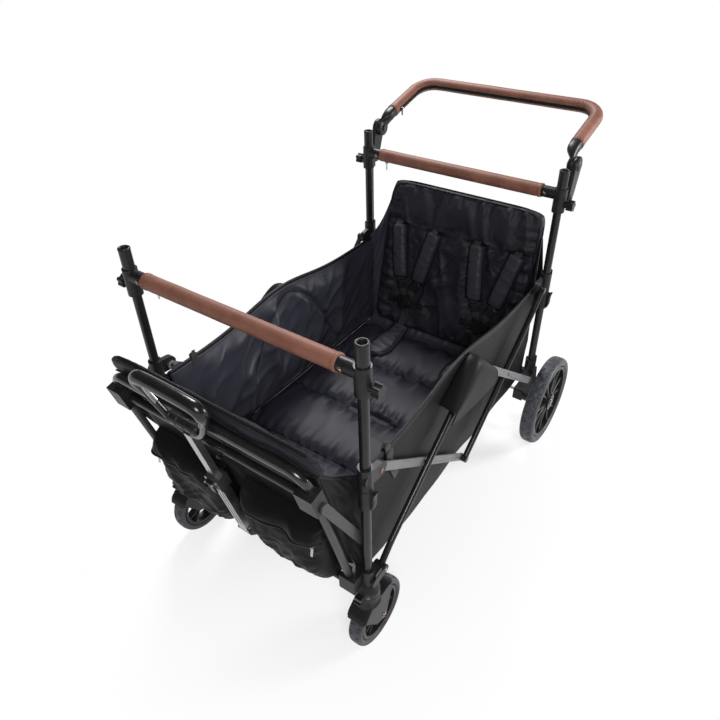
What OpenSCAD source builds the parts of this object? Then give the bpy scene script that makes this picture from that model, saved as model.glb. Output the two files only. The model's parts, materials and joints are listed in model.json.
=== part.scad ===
// Folding stroller wagon: four posts joined by crossed side links, a soft basket between them,
// swivelling wheels at the pull end, large wheels and a push handle at the other end.
// X runs across, -Y is the pull end, +Y is the push end, Z is up from the ground. Millimetres.

/* [Posts] */
// Distance between the left and right post axes
post_span_x = 620; // [580:5:680]
// Distance between the front and rear post axes
post_span_y = 914; // [860:2:980]
// Outside diameter of a post
post_d = 22; // [20:0.5:24]
// Height of the post tops above the ground
post_top = 928; // [915:1:960]
// Diameter of the socket in each post top
socket_d = 17; // [14:0.5:17.5]
// Depth of the socket in each post top
socket_depth = 60; // [30:5:120]
// Wall of a post below its socket
post_wall = 2; // [1.5:0.25:2.25]
// Outside diameter of the sleeve on each post top
sleeve_d = 27; // [26:0.5:30]
// Diameter of the rib along the back of a rear post
rib_d = 12; // [8:1:14]
// Distance of the rib's centre behind a rear post's axis
rib_back = 16; // [12:1:18]
// Wall of the collars, clamps and brackets round a post
collar_wall = 6; // [4:0.5:6.5]

/* [Corner brackets] */
// Height of the corner brackets' base
corner_low = 244.5; // [242:0.5:250]
// Height of a front corner bracket's sleeve
corner_h = 52; // [44:2:70]
// Height of a rear corner bracket's sleeve
rear_corner_h = 72; // [60:2:90]
// Width of the ears that hold the links
ear_w = 24; // [20:1:30]
// Diameter of the cross tubes
cross_d = 20; // [16:1:20]
// Height of the lower cross tubes' axes
cross_z = 257; // [256:0.5:260]
// Distance of the front cross tube in front of the front posts
cross_out = 30; // [26:1:34]

/* [Fold links] */
// Distance of the link pivots from the post axes
pivot_offset = 40; // [36:1:50]
// Height of the lower link pivots
pivot_low = 262; // [258:1:268]
// Height of the upper link pivots
pivot_high = 590; // [586:1:596]
// Width of a flat link
link_w = 22; // [18:1:26]
// Thickness of a flat link
link_t = 5; // [3:0.5:6]
// Diameter of a tube link
link_tube_d = 16; // [14:1:18]
// Diameter of the link pivot pins
pin_d = 8; // [5:0.5:10]
// Height of the lock collars' lower faces
collar_low = 512; // [480:2:530]
// Height of the lock collars' upper faces, on which the sliders rest
collar_top = 568; // [560:1:569]
// Height of a slider's sleeve
slider_h = 58; // [50:1:62]

/* [Bars] */
// Height of the bar axes
bar_z = 863; // [860:1:866]
// Diameter of a bar tube
bar_tube_d = 25; // [20:1:28]
// Diameter of the leather grips
grip_d = 37; // [32:1:40]
// Distance from the end of a bar's leather grip to the post axis
bar_grip_gap = 51; // [48:1:80]
// Height of the bar clamps' lower faces
clamp_low = 815; // [812:1:820]
// Height of the bar clamps' upper faces
clamp_top = 880; // [880:1:890]
// Diameter of a clamp knob
knob_d = 30; // [24:1:36]
// Length of a clamp knob
knob_length = 17; // [12:1:22]

/* [Push handle] */
// Distance of the push hinge behind the rear posts
hinge_back = 68; // [66:1:76]
// Height of the push hinge
hinge_z = 921; // [915:1:930]
// Diameter of the push hinge's discs
hinge_d = 46; // [40:1:50]
// Distance of the handle's elbow behind the hinge
elbow_back = 16; // [14:1:22]
// Height of the handle's elbow above the hinge
elbow_rise = 34; // [30:1:40]
// Slope of the handle above level
push_slope = 14.3; // [5:0.1:25]
// Distance of the handle's crossbar axis behind the rear posts
push_back = 295; // [260:1:330]
// Distance of the handle's leg axes inside the post axes
push_inset = 16; // [16:1:30]
// Bend radius of the handle's corners
push_bend = 62; // [45:1:80]
// Diameter of the handle's tube
push_tube_d = 22; // [18:1:25]
// Diameter of a hinge button
button_d = 17; // [12:1:20]
// Travel of a hinge button
button_travel = 4; // [2:0.5:5]

/* [Pull handle] */
// Distance of the pull handle's pivot in front of the front posts
pull_out = 67; // [64:1:76]
// Height of the pull handle's pivot
pull_pivot_z = 290; // [284:1:300]
// Lean of the stowed handle from upright
pull_lean = 13.2; // [12:0.1:18]
// Distance from the pivot to the grip bar's axis
pull_length = 516; // [490:2:560]
// Half the length of the grip bar
pull_grip_half = 82; // [60:1:95]
// Diameter of the grip bar
pull_grip_d = 29; // [24:1:34]
// Half the length of the lower bar of the loop
pull_low_half = 40; // [30:1:55]
// Distance between the loop's two bars
pull_loop_h = 82; // [70:1:92]
// Width of the outer stem
stem_w = 28; // [24:1:32]
// Depth of the outer stem
stem_t = 22; // [18:1:26]
// Wall of the outer stem
stem_wall = 3; // [2:0.5:4]
// Length of the outer stem from the pivot to its collar's top
stem_length = 246; // [220:2:270]

/* [Front end] */
// Lean of the front panel from upright
front_lean = 14.3; // [10:0.1:16]
// Diameter of the hoop's tube
hoop_d = 22; // [18:1:24]
// Distance of the hoop's leg axes inside the post axes
hoop_inset = 40; // [40:1:52]
// Distance up the panel to the hoop's crossbar axis
hoop_up = 436; // [415:1:440]
// Bend radius of the hoop's corners
hoop_bend = 38; // [26:1:40]
// Diameter of the hoop's leg tubes
leg_d = 18; // [14:1:18]
// Distance of the front panel's edges inside the post axes
panel_inset = 28; // [27:1:34]
// Length of the front panel up its slope
panel_up = 468; // [448:1:470]
// Thickness of the front panel
panel_t = 12; // [8:1:14]
// Height of the strut bolts on the front posts
strut_bolt_z = 390; // [360:2:420]

/* [Basket] */
// Thickness of the floor board
board_t = 6; // [4:0.5:8]
// Thickness of the floor pad at its edge
pad_t = 15; // [10:1:20]
// Height of the side panels' lower edge
side_low = 245; // [235:1:255]
// Height of the side panels' rim
side_top = 612; // [600:1:640]
// Thickness of the side panels
side_t = 6; // [4:1:8]
// Lean of the backrest from upright
back_lean = 13.3; // [10:0.1:16]
// Length of the backrest up its slope
back_up = 506; // [480:2:530]
// Half the width of the backrest
back_half = 262; // [240:2:262]
// Thickness of the backrest at its edge
back_t = 18; // [12:1:24]
// Distance of the backrest's foot in front of the rear posts
back_foot = 37; // [32:1:44]

/* [Rear wheels] */
// Diameter of a rear wheel
rear_wheel_d = 300; // [290:2:310]
// Width of a rear tyre
rear_wheel_w = 46; // [40:1:50]
// Distance of the rear wheels' middle outside the posts
rear_wheel_out = 58; // [57:1:66]
// Distance of the axle behind the rear posts
axle_back = 30; // [20:1:40]
// Diameter of the axle
axle_d = 12; // [10:1:14]
// Diameter of a rear rim
rear_rim_d = 246; // [230:2:252]

/* [Casters] */
// Diameter of a caster wheel
caster_d = 184; // [176:1:186]
// Width of a caster tyre
caster_w = 38; // [32:1:42]
// Diameter of a caster rim
caster_rim_d = 146; // [130:2:150]
// Distance of a caster's axle behind its swivel axis
caster_trail = 28; // [20:1:36]
// Diameter of a caster housing
housing_d = 57; // [54:1:60]
// Diameter of the swivel stem
swivel_d = 12; // [10:1:14]

/* [Clearances] */
// Radial play of pins and axles in their bores
run_play = 0.05; // [0.02:0.01:0.1]
// Radial gap of a fixed fit
snug = 0.05; // [0.02:0.01:0.1]
// Gap between sliding faces
slide_play = 0.4; // [0.3:0.05:0.6]
// Gap between a soft piece and what carries it
seat_gap = 0.3; // [0.2:0.05:0.5]
// Gap between the layers of the side links
layer_gap = 1.5; // [1:0.25:2]

/* [Hidden] */
$fn = 48;
cut = 1;

steel = "#1b1b1e";
plastic = "#232427";
link_grey = "#6c6c70";
leather = "#7a4a3a";
cloth = "#26272c";
rubber = "#3a3d44";
bright = "#8d8f93";

// Places of the posts: the bounding box is centred on the origin
px = post_span_x / 2;
push_half = px - push_inset;
hoop_half = px - hoop_inset;
panel_half = px - panel_inset;
front_reach = pull_out + pull_length * sin(pull_lean) + pull_grip_d / 2;
rear_reach = push_back + grip_d / 2;
shift = (rear_reach - front_reach) / 2;
fy = -post_span_y / 2 - shift;
ry = post_span_y / 2 - shift;
post_low = corner_low + 8;

// Link pivots as [y, z]
front_low = [fy + pivot_offset, pivot_low];
front_high = [fy + pivot_offset, pivot_high];
rear_low = [ry - pivot_offset, pivot_low];
rear_high = [ry - pivot_offset, pivot_high];
mid_low = (front_low + rear_low) / 2;
mid_high = (front_high + rear_high) / 2;
front_cross = (front_low + mid_high) / 2;
rear_cross = (rear_low + mid_high) / 2;

link_angle = atan2(mid_high[1] - front_low[1], mid_high[0] - front_low[0]);

// Layers of the side links across X: inner flats, tubes, outer flats
inner_flat = px - layer_gap - link_t;
tube_x = px + link_tube_d / 2;
tube_in = px;
tube_out = px + link_tube_d;
outer_flat = tube_out + layer_gap;
ear_gap = 0.5;
ear_t = 7;
pin_end = 1;
eye_d = 20;

// Basket places
board_low = cross_z + cross_d / 2 + seat_gap;
floor_top = board_low + board_t;
side_out = px - 14;
pad_half = side_out - side_t - 6;
axle = [ry + axle_back, rear_wheel_d / 2];
caster_axle = [fy + caster_trail, caster_d / 2];
hinge = [ry + hinge_back, hinge_z];
elbow = hinge + [elbow_back, elbow_rise];
push_run = (push_back - hinge_back - elbow_back) / cos(push_slope);
front_foot = 14;

// Right-hand shape and its mirror image
module pair() {
    children();
    mirror([1, 0, 0]) children();
}

// Right-hand shape, or its mirror image on the left
module on_side(side) {
    if (side > 0) children();
    else mirror([1, 0, 0]) children();
}

// Drawing in [y, z], extruded from x0 to x1
module plate(x0, x1) {
    translate([x0, 0, 0]) rotate([90, 0, 90]) linear_extrude(x1 - x0) children();
}

// Strip with round ends between two drawn points
module strip(a, b, w) {
    v = b - a;
    translate(a) rotate(atan2(v[1], v[0])) {
        translate([0, -w / 2]) square([norm(v), w]);
        circle(d = w);
        translate([norm(v), 0]) circle(d = w);
    }
}

// Rectangle about the origin with round corners
module soft_box(w, h, r) {
    square([w - 2 * r, h], center = true);
    square([w, h - 2 * r], center = true);
    for (x = [-1, 1], y = [-1, 1]) translate([x * (w / 2 - r), y * (h / 2 - r)]) circle(r);
}

// Round rod between two points in space
module rod(a, b, d) {
    v = b - a;
    translate(a) rotate([0, acos(v[2] / norm(v)), atan2(v[1], v[0])]) cylinder(d = d, h = norm(v));
}

// Rod along X at a drawn point
module cross_rod(p, x0, x1, d) {
    plate(x0, x1) translate(p) circle(d = d);
}

// Tube bent into a U: legs up local Y from y0, crossbar at y1
module bent_u(half, y0, y1, bend, d) {
    pair() {
        translate([half, y0, 0]) rotate([-90, 0, 0]) cylinder(d = d, h = y1 - bend - y0);
        translate([half - bend, y1 - bend, 0]) rotate_extrude(angle = 90) translate([bend, 0]) circle(d = d);
    }
    translate([bend - half, y1, 0]) rotate([0, 90, 0]) cylinder(d = d, h = 2 * (half - bend));
}

// Cushion with a flat back at z = 0: outline(u, v) gives [x, y] and face(u, v) the height
module cushion(nx, ny, outline, face) {
    at = function(i, j) j * (nx + 1) + i;
    top = [for (j = [0:ny], i = [0:nx]) let (p = outline(i / nx, j / ny)) [p[0], p[1], face(i / nx, j / ny)]];
    rim = concat(
        [for (i = [0:nx - 1]) [i, 0]], [for (j = [0:ny - 1]) [nx, j]],
        [for (i = [nx:-1:1]) [i, ny]], [for (j = [ny:-1:1]) [0, j]]
    );
    n = len(rim);
    nt = len(top);
    base = [for (k = rim) let (p = top[at(k[0], k[1])]) [p[0], p[1], 0]];
    middle = outline(0.5, 0.5);
    polyhedron(concat(top, base, [[middle[0], middle[1], 0]]), concat(
        [for (j = [0:ny - 1], i = [0:nx - 1]) [at(i, j), at(i, j + 1), at(i + 1, j + 1)]],
        [for (j = [0:ny - 1], i = [0:nx - 1]) [at(i, j), at(i + 1, j + 1), at(i + 1, j)]],
        [for (k = [0:n - 1]) let (a = rim[k], b = rim[(k + 1) % n])
            [at(a[0], a[1]), at(b[0], b[1]), nt + (k + 1) % n]],
        [for (k = [0:n - 1]) [at(rim[k][0], rim[k][1]), nt + (k + 1) % n, nt + k]],
        [for (k = [0:n - 1]) [nt + n, nt + k, nt + (k + 1) % n]]
    ));
}

// Swell of a cushion: 0 at its edges, 1 in its middle
function swell(u, v) = (1 - pow(2 * u - 1, 4)) * (1 - pow(2 * v - 1, 4));

// Groove of a sewn line at distance d from it
function groove(d, w) = exp(-d * d / (w * w));

// Section of a post; a rear post has a rib along its back
module post_shape(rear, grow) {
    circle(d = post_d + 2 * grow);
    if (rear) {
        translate([0, rib_back]) circle(d = rib_d + 2 * grow);
        translate([-rib_d / 2 - grow, 0]) square([rib_d + 2 * grow, rib_back]);
    }
}

// Solid with the section of a post, from z0 to z1
module post_solid(rear, grow, z0, z1) {
    translate([px, rear ? ry : fy, z0]) linear_extrude(z1 - z0) post_shape(rear, grow);
}

// Sleeve round a post, from z0 to z1
module post_sleeve(rear, play, wall, z0, z1) {
    translate([px, rear ? ry : fy, z0]) linear_extrude(z1 - z0) difference() {
        post_shape(rear, wall);
        post_shape(rear, play);
    }
}

module post(rear) {
    difference() {
        union() {
            post_solid(rear, 0, post_low, clamp_top);
            translate([px, rear ? ry : fy, clamp_top]) cylinder(d = sleeve_d, h = post_top - clamp_top);
        }
        translate([px, rear ? ry : fy, post_low - cut])
            cylinder(d = post_d - 2 * post_wall, h = post_top - socket_depth - post_low + cut);
        translate([px, rear ? ry : fy, post_top - socket_depth - cut]) cylinder(d = socket_d, h = socket_depth + 2 * cut);
    }
}

module rear_posts() {
    color(steel) pair() post(true);
}

module front_posts() {
    color(steel) pair() post(false);
}

// Lock collars, fixed to the posts under the sliders
latch_t = 6;
latch_h = 40;
module lock_collar(rear) {
    post_sleeve(rear, snug, collar_wall - 1, collar_low, collar_top);
    translate([px + post_d / 2 + collar_wall - 2, (rear ? ry : fy) - latch_t, collar_top - latch_h - 4])
        cube([latch_t, 2 * latch_t, latch_h]);
}

module rear_lock_collars() {
    color(plastic) pair() lock_collar(true);
}

module front_lock_collars() {
    color(plastic) pair() lock_collar(false);
}

// Sliders: sleeves that ride up the posts, with arms that hold the upper link pivots
slider_low = collar_top + 2;
slider_mid = slider_low + slider_h / 2;
arm_w = 36;
module slider(rear, arm_x0, arm_x1, pin_x) {
    y = rear ? ry : fy;
    p = rear ? rear_high : front_high;
    difference() {
        union() {
            post_solid(rear, collar_wall - 1, slider_low, slider_low + slider_h);
            plate(arm_x0, arm_x1) strip([y, slider_mid], p + [0, 4], arm_w);
        }
        post_solid(rear, slide_play, slider_low - cut, slider_low + slider_h + cut);
    }
    cross_rod(p, min(arm_x1 - cut, pin_x), max(arm_x0 + cut, pin_x), pin_d);
}

module rear_sliders() {
    color(plastic) pair() slider(true, tube_in - ear_gap - 2 * ear_t + 2, tube_in - ear_gap, tube_out + pin_end);
}

module front_sliders() {
    color(plastic) pair() slider(false, px - layer_gap + ear_gap, px + 2 * ear_t - 1, inner_flat - pin_end);
}

// Flat link between two pivots, with a bore at each pivot
module flat_link(x0, ends, holes) {
    difference() {
        plate(x0, x0 + link_t) strip(ends[0], ends[1], link_w);
        for (h = holes) cross_rod(h[0], x0 - cut, x0 + link_t + cut, pin_d + 2 * h[1]);
    }
}

module rear_flat_links() {
    color(link_grey) pair()
        flat_link(outer_flat, [rear_low, mid_high], [[rear_low, run_play], [rear_cross, run_play], [mid_high, run_play]]);
}

module front_flat_links() {
    color(link_grey) pair()
        flat_link(inner_flat, [front_high, mid_low], [[front_high, run_play], [front_cross, run_play], [mid_low, slide_play]]);
}

// Tube link from a plain eye to a bored eye, bent at a third point
module tube_link(plain, bend, bored) {
    difference() {
        union() {
            rod([tube_x, plain[0], plain[1]], [tube_x, bend[0], bend[1]], link_tube_d);
            rod([tube_x, bend[0], bend[1]], [tube_x, bored[0], bored[1]], link_tube_d);
            translate([tube_x, bend[0], bend[1]]) sphere(d = link_tube_d + bend_swell);
            for (p = [plain, bored]) cross_rod(p, tube_in, tube_out, eye_d);
        }
        cross_rod(bored, tube_in - cut, tube_out + cut, pin_d + 2 * run_play);
    }
}

// The bends stand off the straight lines between the eyes
bend_swell = 0.6;
bend_share = 0.12;
bend_off = 7;
front_bend = front_low + bend_share * (mid_high - front_low) + bend_off * [-sin(link_angle), cos(link_angle)];
rear_bend = rear_high + bend_share * (mid_low - rear_high) + bend_off * [sin(link_angle), -cos(link_angle)];
module front_tube_links() {
    color(steel) pair() {
        tube_link(mid_high, front_bend, front_low);
        cross_rod(mid_high, tube_out - cut, outer_flat + link_t + pin_end, pin_d);
        cross_rod(front_cross, inner_flat - pin_end, tube_x, pin_d);
    }
}

module rear_tube_links() {
    color(steel) pair() {
        tube_link(mid_low, rear_bend, rear_high);
        cross_rod(mid_low, inner_flat - pin_end, tube_in + cut, pin_d);
        cross_rod(rear_cross, tube_x, outer_flat + link_t + pin_end, pin_d);
    }
}

// Front corner bracket: post sleeve, clevis for the tube link, block for the leg and the cross tube
block_w = 42;
block_l = 48;
block_h = 44;
block_x = px - post_d / 2 - seat_gap - link_t - block_w + 12;
web_l = 24;
web_h = 40;
leg_x = px - 30;
leg_w = 14;
cross_end = block_x + 16;
ear_foot = corner_low + ear_w / 2 + 2;
module front_corners() {
    color(plastic) pair() difference() {
        union() {
            post_solid(false, collar_wall, corner_low, corner_low + corner_h);
            plate(tube_in - ear_gap - ear_t, tube_in - ear_gap) strip([fy, ear_foot], front_low, ear_w);
            plate(tube_out + ear_gap, tube_out + ear_gap + ear_t) strip([fy, ear_foot], front_low, ear_w);
            translate([tube_in - ear_gap - ear_t + cut, fy + cut, corner_low + 3])
                cube([link_tube_d + 2 * (ear_gap + ear_t - cut), web_l, web_h]);
            translate([block_x, fy - block_l, corner_low + 1]) cube([block_w, block_l, block_h]);
            cross_rod(front_low, tube_in - ear_gap - cut, tube_out + ear_gap + cut, pin_d);
        }
        post_solid(false, snug, post_low, corner_low + corner_h + cut);
        front_frame() translate([leg_x, -leg_w, leg_low - snug]) cylinder(d = leg_d + 2 * snug, h = block_h);
        cross_rod([fy - cross_out, cross_z], block_x - cut, cross_end + snug, cross_d + 2 * snug);
    }
}

// Caster housing under a front corner
fender_gap = 2.5;
fender_t = 3.5;
fender_r = caster_d / 2 + fender_gap + fender_t;
crown_low = caster_d / 2 + fender_r - 1;
crown_top = crown_low + 17;
housing_low = crown_top + slide_play;
cone_h = 18;
swivel_top = corner_low - 4;
lock_w = 18;
lock_t = 8;
lock_travel = 5;
lock_rail = 6;
module caster_housings() {
    color(plastic) pair() translate([px, fy, 0]) difference() {
        union() {
            translate([0, 0, housing_low]) cylinder(d = housing_d, h = corner_low - cone_h - housing_low);
            translate([0, 0, corner_low - cone_h])
                cylinder(d1 = housing_d, d2 = post_d + 2 * collar_wall + 2, h = cone_h);
            translate([-lock_w / 2, -housing_d / 2 - lock_rail, housing_low])
                cube([lock_w, housing_d / 2, corner_low - cone_h - housing_low]);
        }
        translate([0, 0, housing_low - cut]) cylinder(d = swivel_d + 2 * run_play, h = swivel_top - housing_low + cut);
    }
}

// Swivel-lock tab on the front of a caster housing
module caster_lock(side) {
    color(bright) on_side(side) translate([px, fy - housing_d / 2 - lock_rail - slide_play, housing_low]) {
        translate([-lock_w / 2, -lock_t, 0]) cube([lock_w, lock_t, corner_low - cone_h - housing_low]);
        translate([0, -lock_t, 4]) rotate([0, 90, 0]) cylinder(d = 7, h = lock_w, center = true);
    }
}

// Caster fork with its stem, fender and axle pin
fork_t = 6;
fork_gap = 2.5;
fork_in = caster_w / 2 + fork_gap;
axle_boss_d = 30;
caster_pin_d = 10;
module caster_fork(side) {
    color(plastic) on_side(side) {
        translate([px, fy, crown_low]) cylinder(d = housing_d - 2, h = crown_top - crown_low);
        translate([px, fy, crown_top - cut]) cylinder(d = swivel_d, h = swivel_top - cut - crown_top);
        for (s = [-1, 1]) plate(px + s * (fork_in + fork_t / 2) - fork_t / 2, px + s * (fork_in + fork_t / 2) + fork_t / 2)
            polygon([
                [fy - 20, crown_low + 6], [fy - 40, crown_low - 26], caster_axle + [-axle_boss_d, 0],
                caster_axle + [-axle_boss_d / 2, -axle_boss_d / 3], caster_axle + [0, -axle_boss_d / 2],
                caster_axle + [axle_boss_d / 2, 0], [fy + caster_trail + 18, crown_low - 20], [fy + 20, crown_low + 6]
            ]);
        translate([px, caster_axle[0], caster_axle[1]]) rotate([90, 0, 90]) rotate([0, 0, 64])
            rotate_extrude(angle = 82) translate([fender_r - fender_t, -fork_in - fork_t]) square([fender_t, 2 * (fork_in + fork_t)]);
        cross_rod(caster_axle, px - fork_in - cut, px + fork_in + cut, caster_pin_d);
    }
}

// Section of a tyre, drawn as [radius, x]
module tyre_section(r_in, r_out, w, soft) {
    translate([r_in, -w / 2]) square([r_out - soft - r_in, w]);
    translate([r_in, -w / 2 + soft]) square([r_out - r_in, w - 2 * soft]);
    for (s = [-1, 1]) translate([r_out - soft, s * (w / 2 - soft)]) circle(soft);
}

// Solid of revolution about an axle along X
module about_axle(x, p) {
    translate([x, p[0], p[1]]) rotate([0, 90, 0]) rotate_extrude() children();
}

// Rim: outer ring, hub and spokes
rim_wall = 9;
module rim(d, w, spokes, spoke_w, hub_d) {
    rotate([0, 90, 0]) {
        translate([0, 0, -w / 2]) linear_extrude(w) difference() {
            circle(d = d);
            circle(d = d - 2 * rim_wall);
        }
        translate([0, 0, -w / 4]) linear_extrude(w / 2) difference() {
            for (i = [0:spokes - 1]) rotate(i * 360 / spokes) translate([0, -spoke_w / 2]) square([d / 2 - rim_wall / 2, spoke_w]);
            circle(d = hub_d / 2);
        }
        translate([0, 0, -w / 2]) cylinder(d = hub_d, h = w);
    }
}

caster_soft = 7;
module caster_tyre(side) {
    color(rubber) on_side(side) about_axle(px, caster_axle)
        tyre_section(caster_rim_d / 2 + snug, caster_d / 2, caster_w, caster_soft);
}

caster_spokes = 5;
module caster_rim(side) {
    color(plastic) on_side(side) difference() {
        translate([px, caster_axle[0], caster_axle[1]]) rim(caster_rim_d, caster_w - 6, caster_spokes, 14, 32);
        cross_rod(caster_axle, px - caster_w, px + caster_w, caster_pin_d + 2 * run_play);
    }
}

// Rear corner bracket: post sleeve, boss for the flat link, leg and brake box at the axle
axle_leg_w = 40;
axle_boss = 54;
brake_box = 46;
leg_in = px - 12;
leg_out = px + 16;
box_in = px - 42;
cross_boss = 28;
module rear_corners() {
    color(plastic) pair() difference() {
        union() {
            post_solid(true, collar_wall, corner_low, corner_low + rear_corner_h);
            plate(px + 2, outer_flat - ear_gap) strip([ry, ear_foot], rear_low, ear_w);
            cross_rod(rear_low, outer_flat - ear_gap - cut, outer_flat + link_t + pin_end, pin_d);
            plate(leg_in, leg_out) {
                strip([ry + 6, corner_low + axle_leg_w / 2], axle, axle_leg_w);
                translate(axle) circle(d = axle_boss);
            }
            plate(box_in, leg_in + cut) translate(axle) soft_box(axle_boss, brake_box, 8);
            plate(px - 40, px - 8) translate([ry, cross_z]) circle(d = cross_boss);
        }
        post_solid(true, snug, post_low, corner_low + rear_corner_h + cut);
        cross_rod(axle, box_in - cut, leg_out + cut, axle_d + 2 * snug);
        cross_rod([ry, cross_z], px - 40 - cut, px - 24 + snug, cross_d + 2 * snug);
    }
}

// Rear axle and the cross tube above it
hub_out = rear_wheel_out + rear_wheel_w / 2 + 4;
cap_t = 7;
axle_half = px + hub_out - cap_t - 1;
module rear_axle() {
    color(bright) {
        cross_rod(axle, -axle_half, axle_half, axle_d);
        difference() {
            cross_rod([ry, cross_z], 24 - px, px - 24, cross_d);
            cross_rod([ry, cross_z], 24 - px - cut, px - 24 + cut, cross_d - 2 * post_wall);
        }
    }
}

// Foot brake pedal, turning on the axle
pedal_half = 55;
pedal_l = 66;
module brake_pedal() {
    color(plastic) difference() {
        union() {
            cross_rod(axle, -pedal_half, pedal_half, axle_d + 14);
            plate(-pedal_half, pedal_half) strip(axle + [0, 6], axle + [pedal_l, 16], 10);
        }
        cross_rod(axle, -pedal_half - cut, pedal_half + cut, axle_d + 2 * run_play);
    }
}

rear_soft = 10;
module rear_tyre(side) {
    color(rubber) on_side(side) about_axle(px + rear_wheel_out, axle)
        tyre_section(rear_rim_d / 2 + snug, rear_wheel_d / 2, rear_wheel_w, rear_soft);
}

rear_spokes = 6;
hub_d = 52;
module rear_rim(side) {
    color(plastic) on_side(side) difference() {
        union() {
            translate([px + rear_wheel_out, axle[0], axle[1]])
                rim(rear_rim_d, rear_wheel_w - 8, rear_spokes, 20, hub_d);
            cross_rod(axle, leg_out + slide_play, px + hub_out, hub_d - 8);
        }
        cross_rod(axle, leg_out - cut, px + hub_out - cap_t, axle_d + 2 * run_play);
    }
}

// Bar clamp: sleeve on the post, socket for the bar and boss for the knob
socket_wall = 3;
knob_z = 838;
knob_boss_d = 18;
knob_boss_l = 8;
knob_x = px + post_d / 2 + collar_wall - 2 + knob_boss_l;
knob_stem_d = 8;
knob_stem_l = 12;
bar_end = px - post_d / 2 - collar_wall;
bar_grip_half = px - bar_grip_gap;
socket_l = bar_end - bar_grip_half - seat_gap;
module bar_clamp(rear) {
    y = rear ? ry : fy;
    difference() {
        union() {
            post_solid(rear, collar_wall, clamp_low, clamp_top);
            cross_rod([y, bar_z], bar_end - socket_l, px, bar_tube_d + 2 * socket_wall);
            cross_rod([y, knob_z], px, knob_x, knob_boss_d);
            if (rear) plate(px - 10.5, px + 1.5) strip([ry + rib_back, hinge_foot[1]], hinge_foot, 26);
        }
        post_solid(rear, snug, clamp_low - cut, clamp_top + cut);
        cross_rod([y, bar_z], bar_end - socket_l - cut, bar_end, bar_tube_d + 2 * snug);
        cross_rod([y, knob_z], knob_x - knob_stem_l, knob_x + cut, knob_stem_d + 2 * run_play);
    }
}

module rear_bar_clamps() {
    color(plastic) pair() bar_clamp(true);
}

module front_bar_clamps() {
    color(plastic) pair() bar_clamp(false);
}

module bar_tube(y) {
    difference() {
        cross_rod([y, bar_z], -bar_end + cut, bar_end - cut, bar_tube_d);
        cross_rod([y, bar_z], -bar_end, bar_end, bar_tube_d - 2 * post_wall);
    }
}

module bar_grip(y) {
    difference() {
        cross_rod([y, bar_z], -bar_grip_half, bar_grip_half, grip_d);
        cross_rod([y, bar_z], -bar_grip_half - cut, bar_grip_half + cut, bar_tube_d + 2 * snug);
    }
}

module rear_bar_tube() {
    color(steel) bar_tube(ry);
}

module front_bar_tube() {
    color(steel) bar_tube(fy);
}

module rear_bar_grip() {
    color(leather) bar_grip(ry);
}

module front_bar_grip() {
    color(leather) bar_grip(fy);
}

// Clamp knob with five lobes
knob_lobes = 5;
module clamp_knob(side, y) {
    color(plastic) on_side(side) {
        plate(knob_x + slide_play, knob_x + slide_play + knob_length) translate([y, knob_z]) {
            circle(d = knob_d * 0.74);
            for (i = [0:knob_lobes - 1]) rotate(i * 360 / knob_lobes) translate([knob_d / 2 - 5, 0]) circle(d = 10);
        }
        cross_rod([y, knob_z], knob_x - knob_stem_l + cut, knob_x + slide_play + cut, knob_stem_d);
    }
}

// Push hinge: bases bolted to the rear clamps, arms that carry the handle
hinge_foot = [ry + rib_back + rib_d / 2 + collar_wall + 18, 840];
base_w = 30;
base_x0 = px + 1.5 + seat_gap;
base_x1 = base_x0 + 13;
arm_x1 = base_x0 - slide_play;
arm_x0 = push_half + 3;
hinge_pin_d = 12;
button_well = button_travel + 5;
module push_hinge_bases() {
    color(plastic) pair() {
        plate(base_x0, base_x1) {
            strip(hinge_foot, hinge, base_w);
            translate(hinge) circle(d = hinge_d);
        }
        cross_rod(hinge, arm_x0 + button_well + slide_play, base_x0 + cut, hinge_pin_d);
    }
}

// Places a shape drawn flat in the handle's own plane
module push_frame() {
    translate([0, elbow[0], elbow[1]]) rotate([push_slope, 0, 0]) children();
}

push_cup_d = 33;
push_cup_low = -14;
push_cup_top = 26;
module push_hinge_arms() {
    color(plastic) pair() difference() {
        union() {
            plate(arm_x0, arm_x1) {
                strip(hinge, elbow, 36);
                translate(hinge) circle(d = hinge_d);
            }
            push_frame() translate([push_half, push_cup_low, 0]) rotate([-90, 0, 0])
                cylinder(d = push_cup_d, h = push_cup_top - push_cup_low);
        }
        push_frame() translate([push_half, 0, 0]) rotate([-90, 0, 0])
            cylinder(d = push_tube_d + 2 * snug, h = push_cup_top + cut);
        cross_rod(hinge, arm_x0 - cut, arm_x1 + cut, hinge_pin_d + 2 * run_play);
        cross_rod(hinge, arm_x0 - cut, arm_x0 + button_well, button_d + 2 * slide_play);
    }
}

module push_handle_tube() {
    color(steel) push_frame() difference() {
        bent_u(push_half, seat_gap, push_run, push_bend, push_tube_d);
        bent_u(push_half, seat_gap - cut, push_run, push_bend, push_tube_d - 2 * post_wall);
    }
}

module push_handle_grip() {
    color(leather) push_frame() difference() {
        bent_u(push_half, push_cup_top + seat_gap, push_run, push_bend, grip_d);
        bent_u(push_half, 0, push_run, push_bend, push_tube_d + 2 * snug);
    }
}

button_l = 9;
module push_button(side) {
    color(bright) on_side(side) cross_rod(hinge, arm_x0 + button_well - button_travel - seat_gap - button_l,
        arm_x0 + button_well - button_travel - seat_gap, button_d);
}

// Front end, drawn in its own leaning frame: local Z runs up the panel, local -Y faces forward
module front_frame() {
    translate([0, fy - front_foot, floor_top]) rotate([front_lean, 0, 0]) children();
}

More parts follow.
